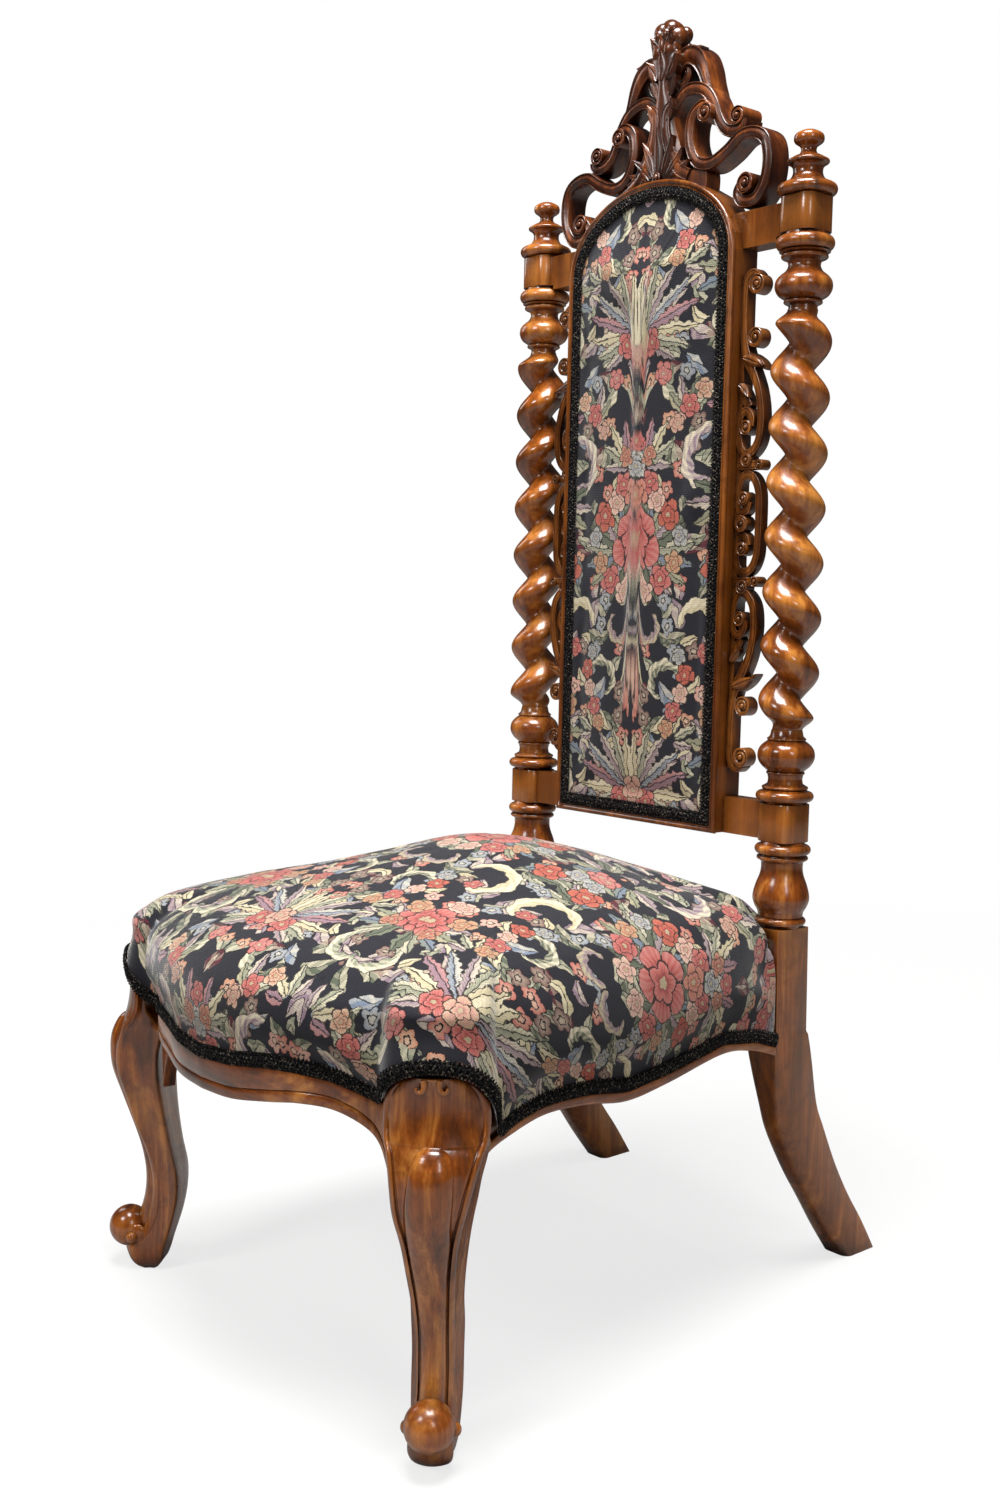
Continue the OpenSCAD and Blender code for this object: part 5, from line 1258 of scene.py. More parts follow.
def carved_leaf(shell, root, turn, length, half_w, front, depth, curl):
    """Pointed leaf with a domed face, a cut vein and a tip that curls forward."""
    rings = []
    c, s = math.cos(turn), math.sin(turn)
    for k in np.linspace(0.0, 1.0, 17):
        w = max(half_w * (0.45 + 0.55 * math.sin(math.pi * k ** 0.8)) * (1 - k ** 4) ** 0.6, 0.4)
        rise = -curl * k * k * k
        ring = []
        for q in np.linspace(-1, 1, 15):
            dome = 0.34 * half_w * (1 - q * q) - 0.22 * half_w * math.exp(-(q / 0.16) ** 2)
            ring.append((root[0] + c * length * k - s * q * w, front + rise - dome,
                         root[1] + s * length * k + c * q * w))
        for q in (0.9, -0.9):
            ring.append((root[0] + c * length * k - s * q * w, front + 0.5 * rise + depth * (1 - 0.5 * k),
                         root[1] + s * length * k + c * q * w))
        rings.append(ring)
    shell.loft(rings)


# Straps of the brackets: place and width; rounds: place, radius and depth
FRET_STRAPS = [
    [[0.6, 0.965, 1], [0.42, 0.983, 1], [0.22, 0.965, 1], [0.12, 0.92, 1], [0.1, 0.84, 1], [0.13, 0.76, 1],
     [0.2, 0.7, 1.1], [0.35, 0.64, 1.2], [0.55, 0.59, 1.1], [0.75, 0.53, 1], [0.87, 0.46, 1],
     [0.9, 0.39, 1], [0.82, 0.325, 1], [0.6, 0.285, 1], [0.35, 0.275, 1], [0.14, 0.31, 1],
     [0.06, 0.37, 1], [0.14, 0.43, 1], [0.35, 0.445, 1], [0.52, 0.42, 1], [0.52, 0.385, 0.9]],
    [[0.14, 0.7, 1], [0.32, 0.725, 1], [0.52, 0.74, 1]],
    [[0.2, 0.66, 1.3], [0.5, 0.645, 1.3], [0.8, 0.625, 0.9], [1.03, 0.6, 0.2]],
    [[0.05, 0.545, 0.9], [0.2, 0.51, 1.3], [0.42, 0.46, 1]],
    [[0.05, 0.231, 1], [0.5, 0.231, 1], [0.93, 0.231, 1]],
    [[0.9, -0.01, 1], [0.9, 0.07, 1], [0.86, 0.13, 1], [0.7, 0.175, 1], [0.45, 0.195, 1], [0.2, 0.18, 1],
     [0.09, 0.13, 1], [0.09, 0.08, 1], [0.22, 0.048, 1], [0.42, 0.055, 1], [0.52, 0.088, 0.9]]]
FRET_ROUNDS = [
    [0.61, 0.937, 0.28, 1.1], [0.61, 0.73, 0.28, 1.08], [0.35, 0.38, 0.21, 1.06], [0.9, 0.231, 0.15, 1.04],
    [0.4, 0.252, 0.2, 1.02], [0.35, 0.1, 0.2, 1.06], [0.3, 0, 0.24, 1.04]]
# Leaves of the brackets: place, turn and length
FRET_LEAVES = [[0.2, 0.655, -0.35, 26], [0.08, 0.55, -0.75, 17]]


class CHAIR_OT_frets(bpy.types.Operator):
    """Pierced and carved brackets between the panel and the posts"""
    bl_idname = "chair.frets"
    bl_label = "Side brackets"

    def execute(self, context):
        shell = Shell()
        for up in (1, -1):
            at = (PANEL_HALF_W + 0.1, FRET_MID)
            for i, rows in enumerate(FRET_STRAPS):
                drop = (0.02 + 0.025 * i) * FRET_T
                strap(shell, rows, FRET_REACH, up * FRET_HALF, FRET_STRAP / 2,
                      drop - RAIL_HALF_T, FRET_T - 1.6 * drop, 6, at, BAND)
            for i, (x, z, r, d) in enumerate(FRET_ROUNDS):
                volute(shell, at[0] + x * FRET_REACH, at[1] + up * z * FRET_HALF, r * FRET_REACH,
                       (1 - d) * FRET_T - RAIL_HALF_T - 0.4, 0.97 * d * FRET_T, up * (-1) ** i,
                       0.8 + i, 1.7)
            for x, z, turn, length in FRET_LEAVES:
                carved_leaf(shell, (at[0] + x * FRET_REACH, at[1] + up * z * FRET_HALF), up * turn,
                            length, 4.6, -RAIL_HALF_T - 0.2, 0.8 * FRET_T, 1.5)
            spine = [(at[0], FRET_MID), (at[0] + 0.15 * FRET_REACH, FRET_MID),
                     (at[0] + 0.15 * FRET_REACH, FRET_MID + up * 0.985 * FRET_HALF),
                     (at[0], FRET_MID + up * 0.985 * FRET_HALF)]
            shell.loft([[(x, 0.2 * FRET_T - RAIL_HALF_T, z) for x, z in spine],
                        [(x, 0.8 * FRET_T - RAIL_HALF_T, z) for x, z in spine]])
        for side in ("right", "left"):
            make_side(side, "fret_", shell.moved(lean), "walnut_fret", "fret_bracket_", 38)
        return {"FINISHED"}


# Straps of the crest: front, depth, then rows of place and width
CREST_STRAPS = [
    [-0.42, 1, [[0.82, -0.1, 0.9], [0.75, -0.12, 1], [0.715, -0.17, 1], [0.76, -0.22, 1], [0.86, -0.22, 1],
                [0.935, -0.14, 1], [0.96, -0.01, 1], [0.93, 0.105, 1], [0.84, 0.158, 1], [0.72, 0.16, 1],
                [0.6, 0.095, 1], [0.46, 0.05, 1], [0.34, 0.08, 1], [0.275, 0.18, 1], [0.265, 0.29, 1],
                [0.3, 0.37, 1], [0.38, 0.4, 1], [0.43, 0.35, 0.9]]],
    [-0.2, 0.92, [[0.05, 0.31, 1], [0.06, 0.4, 1], [0.11, 0.487, 1], [0.195, 0.533, 1], [0.29, 0.526, 1],
                  [0.375, 0.487, 1], [0.44, 0.41, 1], [0.484, 0.32, 1], [0.534, 0.25, 1], [0.606, 0.215, 1],
                  [0.685, 0.22, 1], [0.71, 0.27, 0.9]]]]
# Eyes of the scrolls: place, radius, front, depth, hand and lead
CREST_EYES = [
    [0.785, -0.12, 0.066, -0.5, 1.12, 1, 2.5], [0.408, 0.355, 0.062, -0.48, 1.04, -1, 0.5],
    [0.664, 0.293, 0.058, -0.28, 1.05, -1, 2.8]]
# Ribbons that run down the middle to the foot, the curled ears and their inner turns
CREST_RIBBONS = [
    [-0.5, 0.5, [[0.1, 0.46, 0.8], [0.055, 0.42, 0.95], [0.05, 0.34, 1], [0.07, 0.25, 1.05],
                 [0.12, 0.15, 1.1], [0.19, 0.06, 1.15], [0.28, 0.01, 1]]],
    [-0.12, 0.98, [[0.03, 0.54, 1.1], [0.05, 0.64, 1.3], [0.1, 0.715, 1.5], [0.18, 0.745, 1.6],
                   [0.26, 0.71, 1.6], [0.315, 0.64, 1.35], [0.355, 0.555, 1.0], [0.41, 0.475, 0.3]]],
    [-0.02, 0.8, [[0.03, 0.6, 0.8], [0.09, 0.575, 0.85], [0.15, 0.6, 0.8], [0.175, 0.65, 0.7],
                  [0.15, 0.685, 0.55]]]]
# Height and half width of the fluted body
CREST_BODY = [
    [-0.1, 0.42], [0.015, 0.42], [0.04, 0.34], [0.06, 0.25], [0.14, 0.2], [0.24, 0.16], [0.33, 0.12],
    [0.42, 0.095], [0.5, 0.075], [0.56, 0.055], [0.61, 0.05], [0.65, 0.075], [0.69, 0.11], [0.73, 0.128],
    [0.77, 0.122], [0.8, 0.095], [0.84, 0.05]]
# Leaves that spread over the foot and hug the neck: place, turn in degrees, length, half width,
# front, curl
CREST_LEAVES = [
    [0.0, 0.05, 90, 44, 6.5, -0.5, 1.5], [0.04, 0.05, 68, 36, 6.0, -0.47, 1.5],
    [0.08, 0.04, 46, 30, 5.5, -0.45, 1.5], [0.12, 0.03, 24, 26, 5.0, -0.43, 1],
    [0.05, 0.36, 66, 22, 5.0, -0.44, 1.5], [0.0, 0.48, 90, 34, 6.5, -0.36, 1.5],
    [0.045, 0.52, 70, 24, 5.5, -0.3, 1.5], [0.0, 0.62, 90, 30, 7.0, -0.42, 2],
    [0.05, 0.63, 58, 22, 6.5, -0.38, 2.5], [0.03, 0.78, 62, 18, 6.0, -0.44, 3],
    [0.22, 0.75, 12, 13, 4.5, 0.0, 1]]
# Lobes of the knob: place, front share and three radii
CREST_LOBES = [
    [0.05, 0.8, -0.16, 9, 9.5, 11], [0.07, 0.87, 0.0, 9.5, 10.5, 10], [0.04, 0.915, -0.14, 9, 9.5, 9],
    [0.0, 0.94, 0.05, 8, 10, 8.5], [0.0, 0.83, -0.28, 6.5, 7.5, 13], [0.065, 0.9, 0.4, 8, 7, 8],
    [0.075, 0.8, 0.45, 8, 7, 9], [0.035, 0.885, -0.4, 5, 5, 6]]


def carved_body(shell, rows, front, back, dome, flutes, flute_depth):
    """Upright carved body from its half widths: domed face cut by flutes that follow its outline."""
    rings = []
    line = smooth_rows([[r[0] * CREST_H, r[1] * CREST_HALF_W] for r in rows], 5)
    for z, w in line:
        w = max(w, 0.4)
        ring = []
        for s in np.linspace(-1, 1, 41):
            cut = 0.5 - 0.5 * math.cos(2 * math.pi * flutes * (s * 0.5 + 0.5))
            y = front - dome * (1 - s * s) + flute_depth * cut * (1 - abs(s) ** 3)
            ring.append((s * w, y, z))
        ring += [(w * 0.98, back - 1, z), (0.8 * w, back, z), (-0.8 * w, back, z), (-w * 0.98, back - 1, z)]
        rings.append(ring)
    shell.loft(rings)


class CHAIR_OT_crest(bpy.types.Operator):
    """Carved and pierced crest: scrolled straps round a fluted leaf and a foliate knob"""
    bl_idname = "chair.crest"
    bl_label = "Crest"

    def execute(self, context):
        shell = Shell()
        for hand in (1, -1):
            half = Shell()
            for front, thick, rows in CREST_STRAPS + CREST_RIBBONS:
                strap(half, rows, CREST_HALF_W, CREST_H, CREST_STRAP / 2, front * CREST_T,
                      thick * CREST_T, 8, (0, CREST_BASE), RIBBON)
            for x, z, r, front, thick, turn, lead in CREST_EYES:
                volute(half, x * CREST_HALF_W, CREST_BASE + z * CREST_H, r * CREST_HALF_W,
                       front * CREST_T, thick * CREST_T, turn, lead, 3.2)
            for x, z, turn, length, wide, front, curl in CREST_LEAVES:
                if x > 0 or hand == 1:
                    carved_leaf(half, (x * CREST_HALF_W, CREST_BASE + z * CREST_H), math.radians(turn),
                                length, wide, front * CREST_T, 14.0, curl)
            for x, z, front, a, b, c in CREST_LOBES:
                if x > 0 or hand == 1:
                    half.ball((x * CREST_HALF_W, front * CREST_T, CREST_BASE + z * CREST_H), (a, b, c),
                              rings=16, sides=28)
            shell.join(half if hand == 1 else half.moved(mirrored))
        middle = Shell()
        carved_body(middle, CREST_BODY, -0.3 * CREST_T, 0.54 * CREST_T, 5.0, 1, 0.8)
        middle.ball((0, 1.5, 0.865 * CREST_H), (16.5, 12.5, 18.5), rings=28, sides=40)
        # Ring plug at the foot, over the screw that holds the crest
        middle.ball((0, -0.62 * CREST_T, 0.035 * CREST_H), (3.4, 2.2, 3.4), rings=14, sides=24)
        ring = [(4.3 * math.cos(a), -0.58 * CREST_T, 0.035 * CREST_H + 4.3 * math.sin(a))
                for a in round_stops(28)]
        middle.tube(ring, 0.9, 8, closed=True)
        shell.join(middle.moved(lambda p: p + np.array([0, 0, CREST_BASE])))
        shell = shell.moved(lean)
        make_piece("crest", shell, "walnut_red", ["carved_crest"], 40)
        return {"FINISHED"}


# ---------------------------------------------------------------- seat upholstery
# Foot of the cover: share of the rail and of the bulge; round the leg its place outward and across,
# its height and the bulge
FRONT_BULGE = [
    [0, 1], [0.12, 1], [0.235, 1], [0.35, 1], [0.47, 1], [0.56, 0.97], [0.647, 0.9], [0.72, 0.82],
    [0.794, 0.7], [0.855, 0.5], [0.912, 0.3]]
CORNER_EDGE = [
    [-0.52, -0.56, -0.13, 0], [-0.3, -0.585, -0.02, -0.15], [-0.09, -0.583, 0.2, -0.3],
    [0.0, -0.51, 0.52, -0.45], [0.06, -0.41, 0.85, -0.6], [0.11, -0.28, 0.97, -0.7],
    [0.15, -0.15, 1.02, -0.8], [0.175, -0.05, 1.04, -0.8], [0.18, 0.05, 1.05, -0.8],
    [0.175, 0.16, 1.04, -0.8], [0.15, 0.26, 1.02, -0.8], [0.11, 0.39, 0.97, -0.7], [0.06, 0.51, 0.85, -0.6],
    [-0.04, 0.62, 0.52, -0.45], [-0.17, 0.69, 0.13, -0.3], [-0.36, 0.69, -0.5, -0.15],
    [-0.56, 0.65, -1.03, 0]]
# Stops of the edge from the front rail, round the leg's shield, to the side rail
CORNER_STOPS = (len(FRONT_BULGE) - 5, len(FRONT_BULGE) + len(CORNER_EDGE) + 3)
SIDE_BULGE = [
    [0.04, 0.3], [0.08, 0.6], [0.14, 0.85], [0.2, 1], [0.27, 1], [0.33, 1], [0.4, 1], [0.46, 1], [0.53, 1],
    [0.6, 1], [0.67, 1], [0.74, 1], [0.8, 1], [0.86, 0.85], [0.92, 0.6], [0.97, 0.2], [1, 0]]
# Rings of the cover: bulge, share of the way in, level (0 the edge, 1 the shoulder, 2 the crown)
COVER_ROWS = [
    [0, 0, 0], [0, 0, 0.1], [0, 0, 0.2], [0.5, 0, 0.32], [0.9, 0, 0.44], [1, 0, 0.54], [1, 0, 0.64],
    [0.8, 0, 0.75], [0.5, 0, 0.85], [0.25, 0.015, 0.93], [0, 0.035, 1], [0, 0.055, 1.08], [0, 0.075, 1.15],
    [0, 0.105, 1.2], [0, 0.14, 1.25], [0, 0.2, 1.32], [0, 0.27, 1.4], [0, 0.35, 1.48], [0, 0.43, 1.57],
    [0, 0.5, 1.66], [0, 0.59, 1.74], [0, 0.68, 1.83], [0, 0.76, 1.9], [0, 0.85, 1.95], [0, 0.93, 1.985],
    [0, 0.99, 2]]


def seat_edge(notch):
    """Right half of the cover's edge: plan, height of the foot and share of the bulge."""
    inner = POST_X - BLOCK_W / 2 - notch
    before, behind, over = -REAR_LEG_FRONT - notch, RAIL_T / 2 + 1.5 + SOFT_GAP, RAIL_TOP + SOFT_GAP
    rear_z = SHOW_TOP - 0.3 * EDGE_RISE
    c = math.sqrt(0.5)
    rows = []
    for s, b in FRONT_BULGE:
        rows.append([s * BOW_END, COVER_IN - FRONT_FACE_Y - lookup(s, BOW) * FRONT_BOW, front_edge(s), b])
    for u, t, z, b in CORNER_EDGE:
        rows.append([LEG_X + (u + t) * LEG_STOCK * c, -LEG_Y + (t - u) * LEG_STOCK * c,
                     SHOW_TOP + z * EDGE_RISE, b])
    for s, b in SIDE_BULGE[1:]:
        start, stop = SIDE_START_Y, REAR_LEG_FRONT + notch
        rows.append([SIDE_FACE_X + (REAR_FACE_X - SIDE_FACE_X) * s - COVER_IN,
                     -(start + (stop - start) * s), side_edge(s) + SOFT_GAP, b])
    rows += [[REAR_FACE_X - COVER_IN - SOFT_GAP, before, over, 0],
             [(REAR_FACE_X + inner) / 2, before, over, 0], [inner + 2, before, over, 0],
             [inner, before + 2, over, 0], [inner, 0.3 * before, over, 0], [inner, behind - 2, over, 0],
             [inner - 2, behind, rear_z, 0]]
    rows += [[k * inner, behind, rear_z, 0] for k in (0.83, 0.66, 0.5, 0.33, 0.17)]
    rows = np.array(rows, float)
    # Round the leg the stops crowd; they are spread evenly, and the turns are eased
    first, last = CORNER_STOPS
    run = spread_evenly(rows[first:last + 1], 3)
    for _ in range(2):
        run[1:-1] = 0.5 * run[1:-1] + 0.25 * (run[:-2] + run[2:])
    rows[first:last + 1] = run
    return rows


def soft_plan(ring, bulge):
    """Plan of the cover above its tacked edge: the steps at the legs are drawn out to smooth corners."""
    away = ring - SEAT_MIDDLE
    reach = np.linalg.norm(away, axis=1)
    away /= reach[:, None]
    order = np.argsort(np.arctan2(away[:, 1], away[:, 0]))
    rim = ring[order]
    best = np.full(len(ring), 1e9)
    for i in range(len(rim)):
        # Outer tangents of the plan: lines through two of its points with all others behind them
        for j in range(1, 24):
            a, b = rim[i], rim[(i + j) % len(rim)]
            side = np.array([b[1] - a[1], a[0] - b[0]])
            size = np.linalg.norm(side)
            if size < 1e-6 or np.max((ring - a) @ side) > 1e-6 * size:
                continue
            along = away @ side
            reached = ((a - SEAT_MIDDLE) @ side) / np.maximum(along, 1e-9)
            best = np.minimum(best, np.where(along > 1e-9, reached, 1e9))
    hold = np.clip(bulge * 6, 0, 1)[:, None]
    grown = reach + 0.8 * hold[:, 0] * np.maximum(np.minimum(best, reach + 40) - reach, 0)
    plan = SEAT_MIDDLE + away * grown[:, None]
    # The stops crowd where the edge climbs the legs; above it they are spread evenly
    (first, last), count = CORNER_STOPS, len(ring)
    run = spread_evenly(plan[first:last + 1], 2)
    for k in range(len(run)):
        plan[first + k] = run[k]
        plan[count - first - k] = run[k] * np.array([-1.0, 1.0])
    for _ in range(14):
        for factor in (0.5, -0.515):
            middle = (np.roll(plan, 1, 0) + np.roll(plan, -1, 0)) / 2
            plan = plan + factor * hold * (middle - plan)
    return plan


def seat_ring(notch, bulge, share, level, slack):
    half = seat_edge(notch)
    ring = np.concatenate([half, (half[::-1] * np.array([-1, 1, 1, 1]))[:-1]])
    loose = float(ease((level - 0.07) / 0.42))
    plan = ring[:, :2] * (1 - loose) + soft_plan(ring[:, :2], np.maximum(ring[:, 3], 0.0)) * loose
    away = plan - SEAT_MIDDLE
    reach = np.linalg.norm(away, axis=1)
    away = away / reach[:, None]
    reach = reach + bulge * ring[:, 3] * SEAT_BULGE - slack
    # Towards the crown the contour lines turn from the plan of the frame to ovals
    oval = 1 / np.sqrt((away[:, 0] / 232.0) ** 2 + (away[:, 1] / 215.0) ** 2)
    turned = 0.92 * float(ease(share / 0.75))
    reach = reach * (1 - turned) + oval * turned
    plan = SEAT_MIDDLE + away * (reach * (1 - share))[:, None]
    if level < 1:
        z = ring[:, 2] + (SEAT_SHOULDER - ring[:, 2]) * level
    else:
        z = np.full(len(ring), SEAT_SHOULDER + (SEAT_CROWN - SEAT_SHOULDER) * (level - 1))
    return np.column_stack([plan, z - (slack if level > 0.3 else 0)])


def cloth_coordinates(rings):
    """Place of each point on the flat cloth, unrolled from the middle down to the edge."""
    rings = np.array(rings)
    away = unit_rows(rings[-12][:, :2] - SEAT_MIDDLE)
    flat = [rings[-1][:, :2]]
    for k in range(len(rings) - 2, -1, -1):
        step = np.linalg.norm(rings[k] - rings[k + 1], axis=1)
        flat.append(flat[-1] + away * step[:, None])
    return np.array(flat[::-1])


def swell(piece, pinned, pressure, cap, frames=20):
    """Stuffs a cover by a short cloth simulation with pressure, and keeps the result."""
    group = piece.vertex_groups.new(name="tacked")
    for index, weight in pinned.items():
        group.add([index], weight, "REPLACE")
    cloth = piece.modifiers.new("stuffing", "CLOTH")
    cloth.settings.use_pressure = True
    cloth.settings.uniform_pressure_force = pressure
    cloth.settings.vertex_group_mass = "tacked"
    cloth.settings.effector_weights.gravity = 0.0
    cloth.settings.tension_stiffness = 60
    cloth.settings.compression_stiffness = 60
    cloth.settings.bending_stiffness = 8
    cloth.settings.quality = 6
    cloth.point_cache.frame_start = 1
    cloth.point_cache.frame_end = frames
    scene = bpy.context.scene
    for number in range(1, frames + 1):
        scene.frame_set(number)
    depsgraph = bpy.context.evaluated_depsgraph_get()
    result = piece.evaluated_get(depsgraph).data
    count = len(piece.data.vertices)
    start = np.zeros(count * 3)
    moved = np.zeros(count * 3)
    piece.data.vertices.foreach_get("co", start)
    result.vertices.foreach_get("co", moved)
    step = (moved - start).reshape(-1, 3)
    length = np.linalg.norm(step, axis=1)
    share = np.minimum(1.0, cap / np.maximum(length, 1e-9))
    new = start.reshape(-1, 3) + step * share[:, None]
    piece.modifiers.remove(cloth)
    piece.data.vertices.foreach_set("co", new.ravel())
    piece.data.update()
    scene.frame_set(1)


def upholster(piece, across, up, pinned, pressure, cap):
    marks = np.column_stack([across, up, np.zeros(len(across))])
    store = piece.data.attributes.new("cloth", "FLOAT_VECTOR", "POINT")
    store.data.foreach_set("vector", marks.ravel())
    swell(piece, pinned, pressure, cap)
    piece.modifiers.new("fine cloth", "SUBSURF").levels = 1
    piece.modifiers["fine cloth"].render_levels = 2


class CHAIR_OT_seat(bpy.types.Operator):
    """Sprung and stuffed seat in tapestry, tacked along the rails and round the posts"""
    bl_idname = "chair.seat"
    bl_label = "Seat"

    def execute(self, context):
        notch = POST_REACH - BLOCK_W / 2 + SOFT_GAP
        rings = [seat_ring(notch if level > 0.5 else SOFT_GAP, bulge, share, level,
                           2.0 * float(ease((level - 0.3) / 0.5)))
                 for bulge, share, level in COVER_ROWS]
        flat = cloth_coordinates(rings)
        rings = np.array(rings)
        shell = Shell()
        shell.loft(rings, caps=False)
        sides = rings.shape[1]
        shell.lid(sides)
        shell = shell.moved(in_plan)
        piece = make_piece("seat_cushion", shell, "tapestry",
                           ["seat_cover", "seat_stuffing", "seat_hessian"], 180)
        flat = flat.reshape(-1, 2)
        pinned = {}
        for k, (_, _, level) in enumerate(COVER_ROWS):
            weight = 1.0 if level < 0.25 else max(0.0, 0.6 - level)
            if weight > 0:
                pinned.update({k * sides + s: weight for s in range(sides)})
        upholster(piece, flat[:, 0], flat[:, 1], pinned, 2.5, 0.006)
        return {"FINISHED"}


def braid(shell, path, out, up):
    """Gimp braid laid on a path: a dark band, two cords that cross and loops along both edges."""
    path, out, up = (np.array(v, float) for v in (path, out, up))
    run = distance_along(path)
    total = run[-1]

    def at(distance, rise, proud):
        place, lift, face = (np.array([np.interp(distance, run, rows[:, k]) for k in range(3)])
                             for rows in (path, up, out))
        return place + lift * rise + face * proud

    half = GIMP_W / 2
    rows = []
    for d in np.arange(0, total + 0.1, 2.0):
        d = min(d, total)
        rows.append([at(d, r, p) for r, p in ((1.0, 0.0), (1.1, 0.9), (1.8, 1.3), (half, 1.5),
                                              (GIMP_W - 1.8, 1.3), (GIMP_W - 1.1, 0.9), (GIMP_W - 1.0, 0))])
    shell.loft(rows, closed=False, caps=False)
    wave = 7.6
    for phase in (0.0, math.pi):
        cord = [at(d, half + 2.5 * math.sin(2 * math.pi * d / wave + phase),
                   1.8 + 0.5 * math.cos(4 * math.pi * d / wave + phase))
                for d in np.arange(0, total, wave / 13)]
        shell.tube(cord, 0.9, 6)
    # Loops that stand out past both edges
    for base, hand in ((1.5, -1), (GIMP_W - 1.5, 1)):
        cord = [at(d, base + hand * (0.5 + 1.3 * math.sin(2 * math.pi * d / 2.9)),
                   1.35 + 0.45 * math.cos(2 * math.pi * d / 2.9))
                for d in np.arange(0, total, 2.9 / 8)]
        shell.tube(cord, 0.62, 5)


class CHAIR_OT_seat_gimp(bpy.types.Operator):
    """Black gimp braid along the foot of the seat cover"""
    bl_idname = "chair.seat_gimp"
    bl_label = "Seat gimp"

    def execute(self, context):
        half = seat_edge(SOFT_GAP)
        run = len(FRONT_BULGE) + len(CORNER_EDGE) + len(SIDE_BULGE) - 1
        right = half[:run, :3]
        path = np.concatenate([(right[::-1] * np.array([-1, 1, 1]))[:-1], right])
        path = smooth_rows(path, 4)
        way = np.gradient(path, axis=0)
        level = unit_rows(way * np.array([1.0, 1.0, 0.0]))
        out = np.column_stack([level[:, 1], -level[:, 0], np.zeros(len(way))])
        up = np.cross(out, unit_rows(way))
        up *= np.sign(up[:, 2])[:, None]
        shell = Shell()
        braid(shell, path + out * 0.4, out, up)
        make_piece("gimp_seat", shell.moved(in_plan), "gimp_braid",
                   ["seat_gimp"], 60)
        return {"FINISHED"}


# ---------------------------------------------------------------- back panel
def arch_line(w, rise, bottom, stiles, stops):
    """Up the right side, over the arch and down the left."""
    right = [(w, z) for z in np.linspace(bottom, ARCH_SPRING, stiles)[:-1]]
    arch = [(w * math.cos(a), ARCH_SPRING + rise * math.sin(a)) for a in np.linspace(0, math.pi, stops)]
    return right + arch + [(-x, z) for x, z in right[::-1]]


def panel_line(inset):
    """Closed line of the panel, drawn in by an inset."""
    w, bottom = PANEL_HALF_W - inset, PANEL_BOTTOM + inset
    foot = [(x, bottom) for x in np.linspace(-w, w, 24)[1:-1]]
    return np.array(arch_line(w, ARCH_RISE - inset, bottom, 50, 48) + foot)


# Rings of the back pad: share of the way in, share of the crown
PAD_ROWS = [
    [0.0, -0.3], [0.05, 0], [0.1, 0.1], [0.165, 0.16], [0.22, 0.3], [0.28, 0.46], [0.34, 0.6], [0.42, 0.72],
    [0.5, 0.82], [0.6, 0.9], [0.7, 0.95], [0.82, 0.98], [0.94, 1]]


def pad_rings(slack):
    half_w = PANEL_HALF_W - EDGE_MOULD - SOFT_GAP
    flat_y = -PANEL_FRONT + 0.2 * PANEL_REBATE
    rings = []
    for share, level in PAD_ROWS:
        line = panel_line(EDGE_MOULD + SOFT_GAP + share * half_w)
        y = flat_y + (-PANEL_FRONT - PANEL_CROWN - flat_y) * level + slack
        rings.append([(x, y, z) for x, z in line])
    return np.array(rings)


class CHAIR_OT_back_pad(bpy.types.Operator):
    """Padded and covered back panel"""
    bl_idname = "chair.back_pad"
    bl_label = "Back pad"

    def execute(self, context):
        rings = pad_rings(1.0)
        sides = rings.shape[1]
        shell = Shell()
        shell.loft(rings, caps=False)
        shell.lid(sides)
        shell.faces = [f[::-1] for f in shell.faces]
        places = rings.reshape(-1, 3)
        piece = make_piece("back_pad", shell.moved(lean), "tapestry",
                           ["back_cover", "back_stuffing"], 180)
        pinned = {k * sides + s: 1.0 for k in range(4) for s in range(sides)}
        rise = context.scene.chair_sizes.back_pattern_rise
        upholster(piece, places[:, 0], places[:, 2] + rise, pinned, 1.5, 0.003)
        return {"FINISHED"}


# Section of the bead: how far in from the mould's line, how far behind the panel's front
MOULD = [
    (0.25, 0.4), (0.2, -0.2), (0.0, -0.45), (-0.6, -0.5), (-1.2, -0.35), (-1.6, 0.0), (-2.0, -0.2),
    (-2.6, -0.95), (-3.4, -1.35), (-4.3, -1.4), (-5.2, -1.05), (-5.8, -0.4), (-6.1, 0.6), (-6.2, 1.8),
    (-6.0, 2.8), (-5.4, 3.4)]


class CHAIR_OT_panel_mould(bpy.types.Operator):
    """Rounded bead worked round the face of the panel frame, outside the gimp"""
    bl_idname = "chair.panel_mould"
    bl_label = "Panel bead"

    def execute(self, context):
        shell, rings = Shell(), []
        count = len(panel_line(0.0))
        lines = {inset: panel_line(inset + EDGE_MOULD) for inset, _ in MOULD}
        for i in list(range(count)) + [0]:
            rings.append([(lines[inset][i][0], proud - PANEL_FRONT, lines[inset][i][1])
                          for inset, proud in MOULD])
        shell.loft(rings, caps=False)
        make_piece("panel_bead", shell.moved(lean), "walnut_frame", (), 50)
        return {"FINISHED"}


